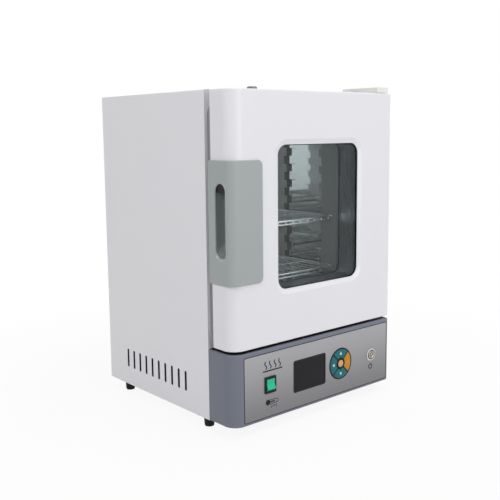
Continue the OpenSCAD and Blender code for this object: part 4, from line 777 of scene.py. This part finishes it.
def add_window_border():
    """Black border printed on the back of the outer pane; it hides the reveal's rim."""
    low, high = span("window_outer_glass")
    centre = ((low[0] + high[0]) / 2 / MM, (low[2] + high[2]) / 2 / MM)
    width, height = (high[0] - low[0]) / MM, (high[2] - low[2]) / MM
    y = high[1] / MM

    def ring(inset):
        return rounded_rect(width - 2 * inset, height - 2 * inset, 28 - inset, 10)

    rings = [(ring(1.6), y + 0.05), (ring(1.6), y + 0.6), (ring(7.6), y + 0.6),
             (ring(7.6), y + 0.05)]
    mesh = loft("window_border", rings, centre, cap_front=False, cap_back=False)
    new_piece("window_border", mesh, "door", "black_seal", smooth=False)


def side_loft(name, rings, cap):
    """Mesh through rings of (outline in (y, z), x), in mm, for a piece on a side face."""
    mesh = loft(name, rings, (0, 0), cap_front=cap, cap_back=cap)
    for vertex in mesh.vertices:
        y, x, z = vertex.co
        vertex.co = (x, y, z)
    turn_outwards(mesh)
    return mesh


VENT_COUNT, VENT_PITCH, VENT_W, VENT_H = 10, 22.5, 4.0, 36.5
VENT_Y, VENT_Z = 34.75, 76.75


def add_vent_painted_shade():
    """Black lip round each side slot, and a black sheet behind each row of slots: painted shade
    that makes the slots read wide and dark, and painted shadow inside the casing.
    """
    side = span("outer_casing")[1][0] / MM
    for name, sign in (("left", -1), ("right", 1)):
        edit = bmesh.new()
        for i in range(VENT_COUNT):
            y = VENT_Y + (i - (VENT_COUNT - 1) / 2) * VENT_PITCH

            def lip(grow):
                width, height = VENT_W + 2 * grow, VENT_H + 2 * grow
                return shifted(rounded_rect(width, height, width / 2 - 0.01), y, VENT_Z)

            # The black lips widen each slot's dark look: painted shade.
            rings = ((1.15, -0.1), (1.15, 0.1), (0.95, 0.2), (-0.1, 0.2), (-0.15, 0.0),
                     (-0.15, -1.4))
            mesh = side_loft("vent_painted_shade_lip", [(lip(grow), sign * (side + out))
                                          for grow, out in rings], False)
            edit.from_mesh(mesh)
            bpy.data.meshes.remove(mesh)
        bmesh.ops.recalc_face_normals(edit, faces=edit.faces)
        mesh = bpy.data.meshes.new("vent_painted_shade_lips_" + name)
        edit.to_mesh(mesh)
        edit.free()
        new_piece("vent_painted_shade_lips_" + name, mesh, "cabinet", "black_plastic", smooth=False)
        # Black sheet behind each row: painted shadow inside the casing.
        sheet = shifted(rounded_rect(VENT_PITCH * VENT_COUNT, VENT_H + 10, 4), VENT_Y, VENT_Z)
        mesh = side_loft("vent_painted_shadow_" + name, [(sheet, sign * (side - 2.2)),
                                                 (sheet, sign * (side - 1.7))], True)
        new_piece("vent_painted_shadow_" + name, mesh, "cabinet", "black_seal", smooth=False)


add_vent_painted_shade()
add_keypad()
add_signs()
add_display_bezel()
add_gap_painted_shadow()
add_feet()
add_button()
add_window_border()
add_finger_pocket()


# ---- Ground, world and lamps ----

GROUND_SIZE = 14.0
SKY_LIGHT = 0.48  # kept low, so that the lamps give the object its shading
GROUND_WHITE = 0.80
SHADOW_REACH = (0.35, 1.1)
OWN_WHITE = (0.90, 1.0)


def seen_rays(tree):
    """1 for what the camera sees directly, in a mirror or through glass, else 0."""
    path = tree.add("ShaderNodeLightPath")
    first = tree.add("ShaderNodeMath", operation="MAXIMUM")
    second = tree.add("ShaderNodeMath", operation="MAXIMUM")
    tree.link(path, "Is Camera Ray", first, 0)
    tree.link(path, "Is Glossy Ray", first, 1)
    tree.link(first, "Value", second, 0)
    tree.link(path, "Is Transmission Ray", second, 1)
    return second


def add_world():
    world = bpy.data.worlds.new("studio")
    world.use_nodes = True
    tree = Tree(world.node_tree)
    light = tree.add("ShaderNodeBackground")
    light.inputs["Color"].default_value = (1, 1, 1, 1)
    light.inputs["Strength"].default_value = SKY_LIGHT
    shown = tree.add("ShaderNodeBackground")
    shown.inputs["Color"].default_value = (1, 1, 1, 1)
    shown.inputs["Strength"].default_value = 1.0
    mix = tree.add("ShaderNodeMixShader")
    tree.link(seen_rays(tree), "Value", mix, 0)
    tree.link(light, "Background", mix, 1)
    tree.link(shown, "Background", mix, 2)
    out = tree.add("ShaderNodeOutputWorld")
    tree.link(mix, "Shader", out, "Surface")
    bpy.context.scene.world = world


def add_ground():
    """White ground that keeps a faint shadow: OWN_WHITE of its look is its own white."""
    mesh = bpy.data.meshes.new("ground")
    half = GROUND_SIZE / 2
    mesh.from_pydata([(-half, -half, 0), (half, -half, 0), (half, half, 0), (-half, half, 0)], [],
                     [(0, 1, 2, 3)])
    ground = bpy.data.objects.new("ground", mesh)
    bpy.context.scene.collection.objects.link(ground)
    material = bpy.data.materials.new("ground_white")
    material.use_nodes = True
    tree = Tree(material.node_tree)
    matt = tree.add("ShaderNodeBsdfDiffuse")
    matt.inputs["Color"].default_value = (GROUND_WHITE, GROUND_WHITE, GROUND_WHITE, 1)
    glow = tree.add("ShaderNodeEmission")
    glow.inputs["Color"].default_value = (1, 1, 1, 1)
    glow.inputs["Strength"].default_value = 1.0
    reach = tree.add("ShaderNodeVectorMath", operation="LENGTH")
    where = tree.add("ShaderNodeTexCoord")
    tree.link(where, "Object", reach, 0)
    fade = tree.add("ShaderNodeMapRange", interpolation_type="SMOOTHSTEP")
    fade.inputs["From Min"].default_value, fade.inputs["From Max"].default_value = SHADOW_REACH
    fade.inputs["To Min"].default_value, fade.inputs["To Max"].default_value = OWN_WHITE
    tree.link(reach, "Value", fade, "Value")
    own = tree.add("ShaderNodeMath", operation="MULTIPLY")
    tree.link(fade, "Result", own, 1)
    tree.link(seen_rays(tree), "Value", own, 0)
    mix = tree.add("ShaderNodeMixShader")
    tree.link(own, "Value", mix, 0)
    tree.link(matt, "BSDF", mix, 1)
    tree.link(glow, "Emission", mix, 2)
    out = tree.add("ShaderNodeOutputMaterial")
    tree.link(mix, "Shader", out, "Surface")
    ground.data.materials.append(material)


def add_lamp(name, at, target, size, power):
    data = bpy.data.lights.new(name, "AREA")
    data.shape = "SQUARE"
    data.size = size
    data.energy = power
    lamp = bpy.data.objects.new(name, data)
    bpy.context.scene.collection.objects.link(lamp)
    lamp.location = at
    aim = Vector(target) - Vector(at)
    lamp.rotation_euler = aim.to_track_quat("-Z", "Y").to_euler()


add_camera()
add_world()
add_ground()
MIDDLE = (0, 0, 0.32)
add_lamp("front_softbox", (0.55, -2.4, 0.9), MIDDLE, 1.6, 14.6)
add_lamp("side_softbox", (-2.3, -0.8, 1.8), MIDDLE, 1.6, 17)
add_lamp("top_softbox", (0.1, -0.7, 2.3), MIDDLE, 1.2, 14)
add_lamp("rear_fill", (0.7, 2.4, 1.3), MIDDLE, 1.6, 11)
add_lamp("right_fill", (2.4, 0.5, 1.2), MIDDLE, 1.6, 8)


scene = bpy.context.scene
scene.view_settings.view_transform = "Standard"
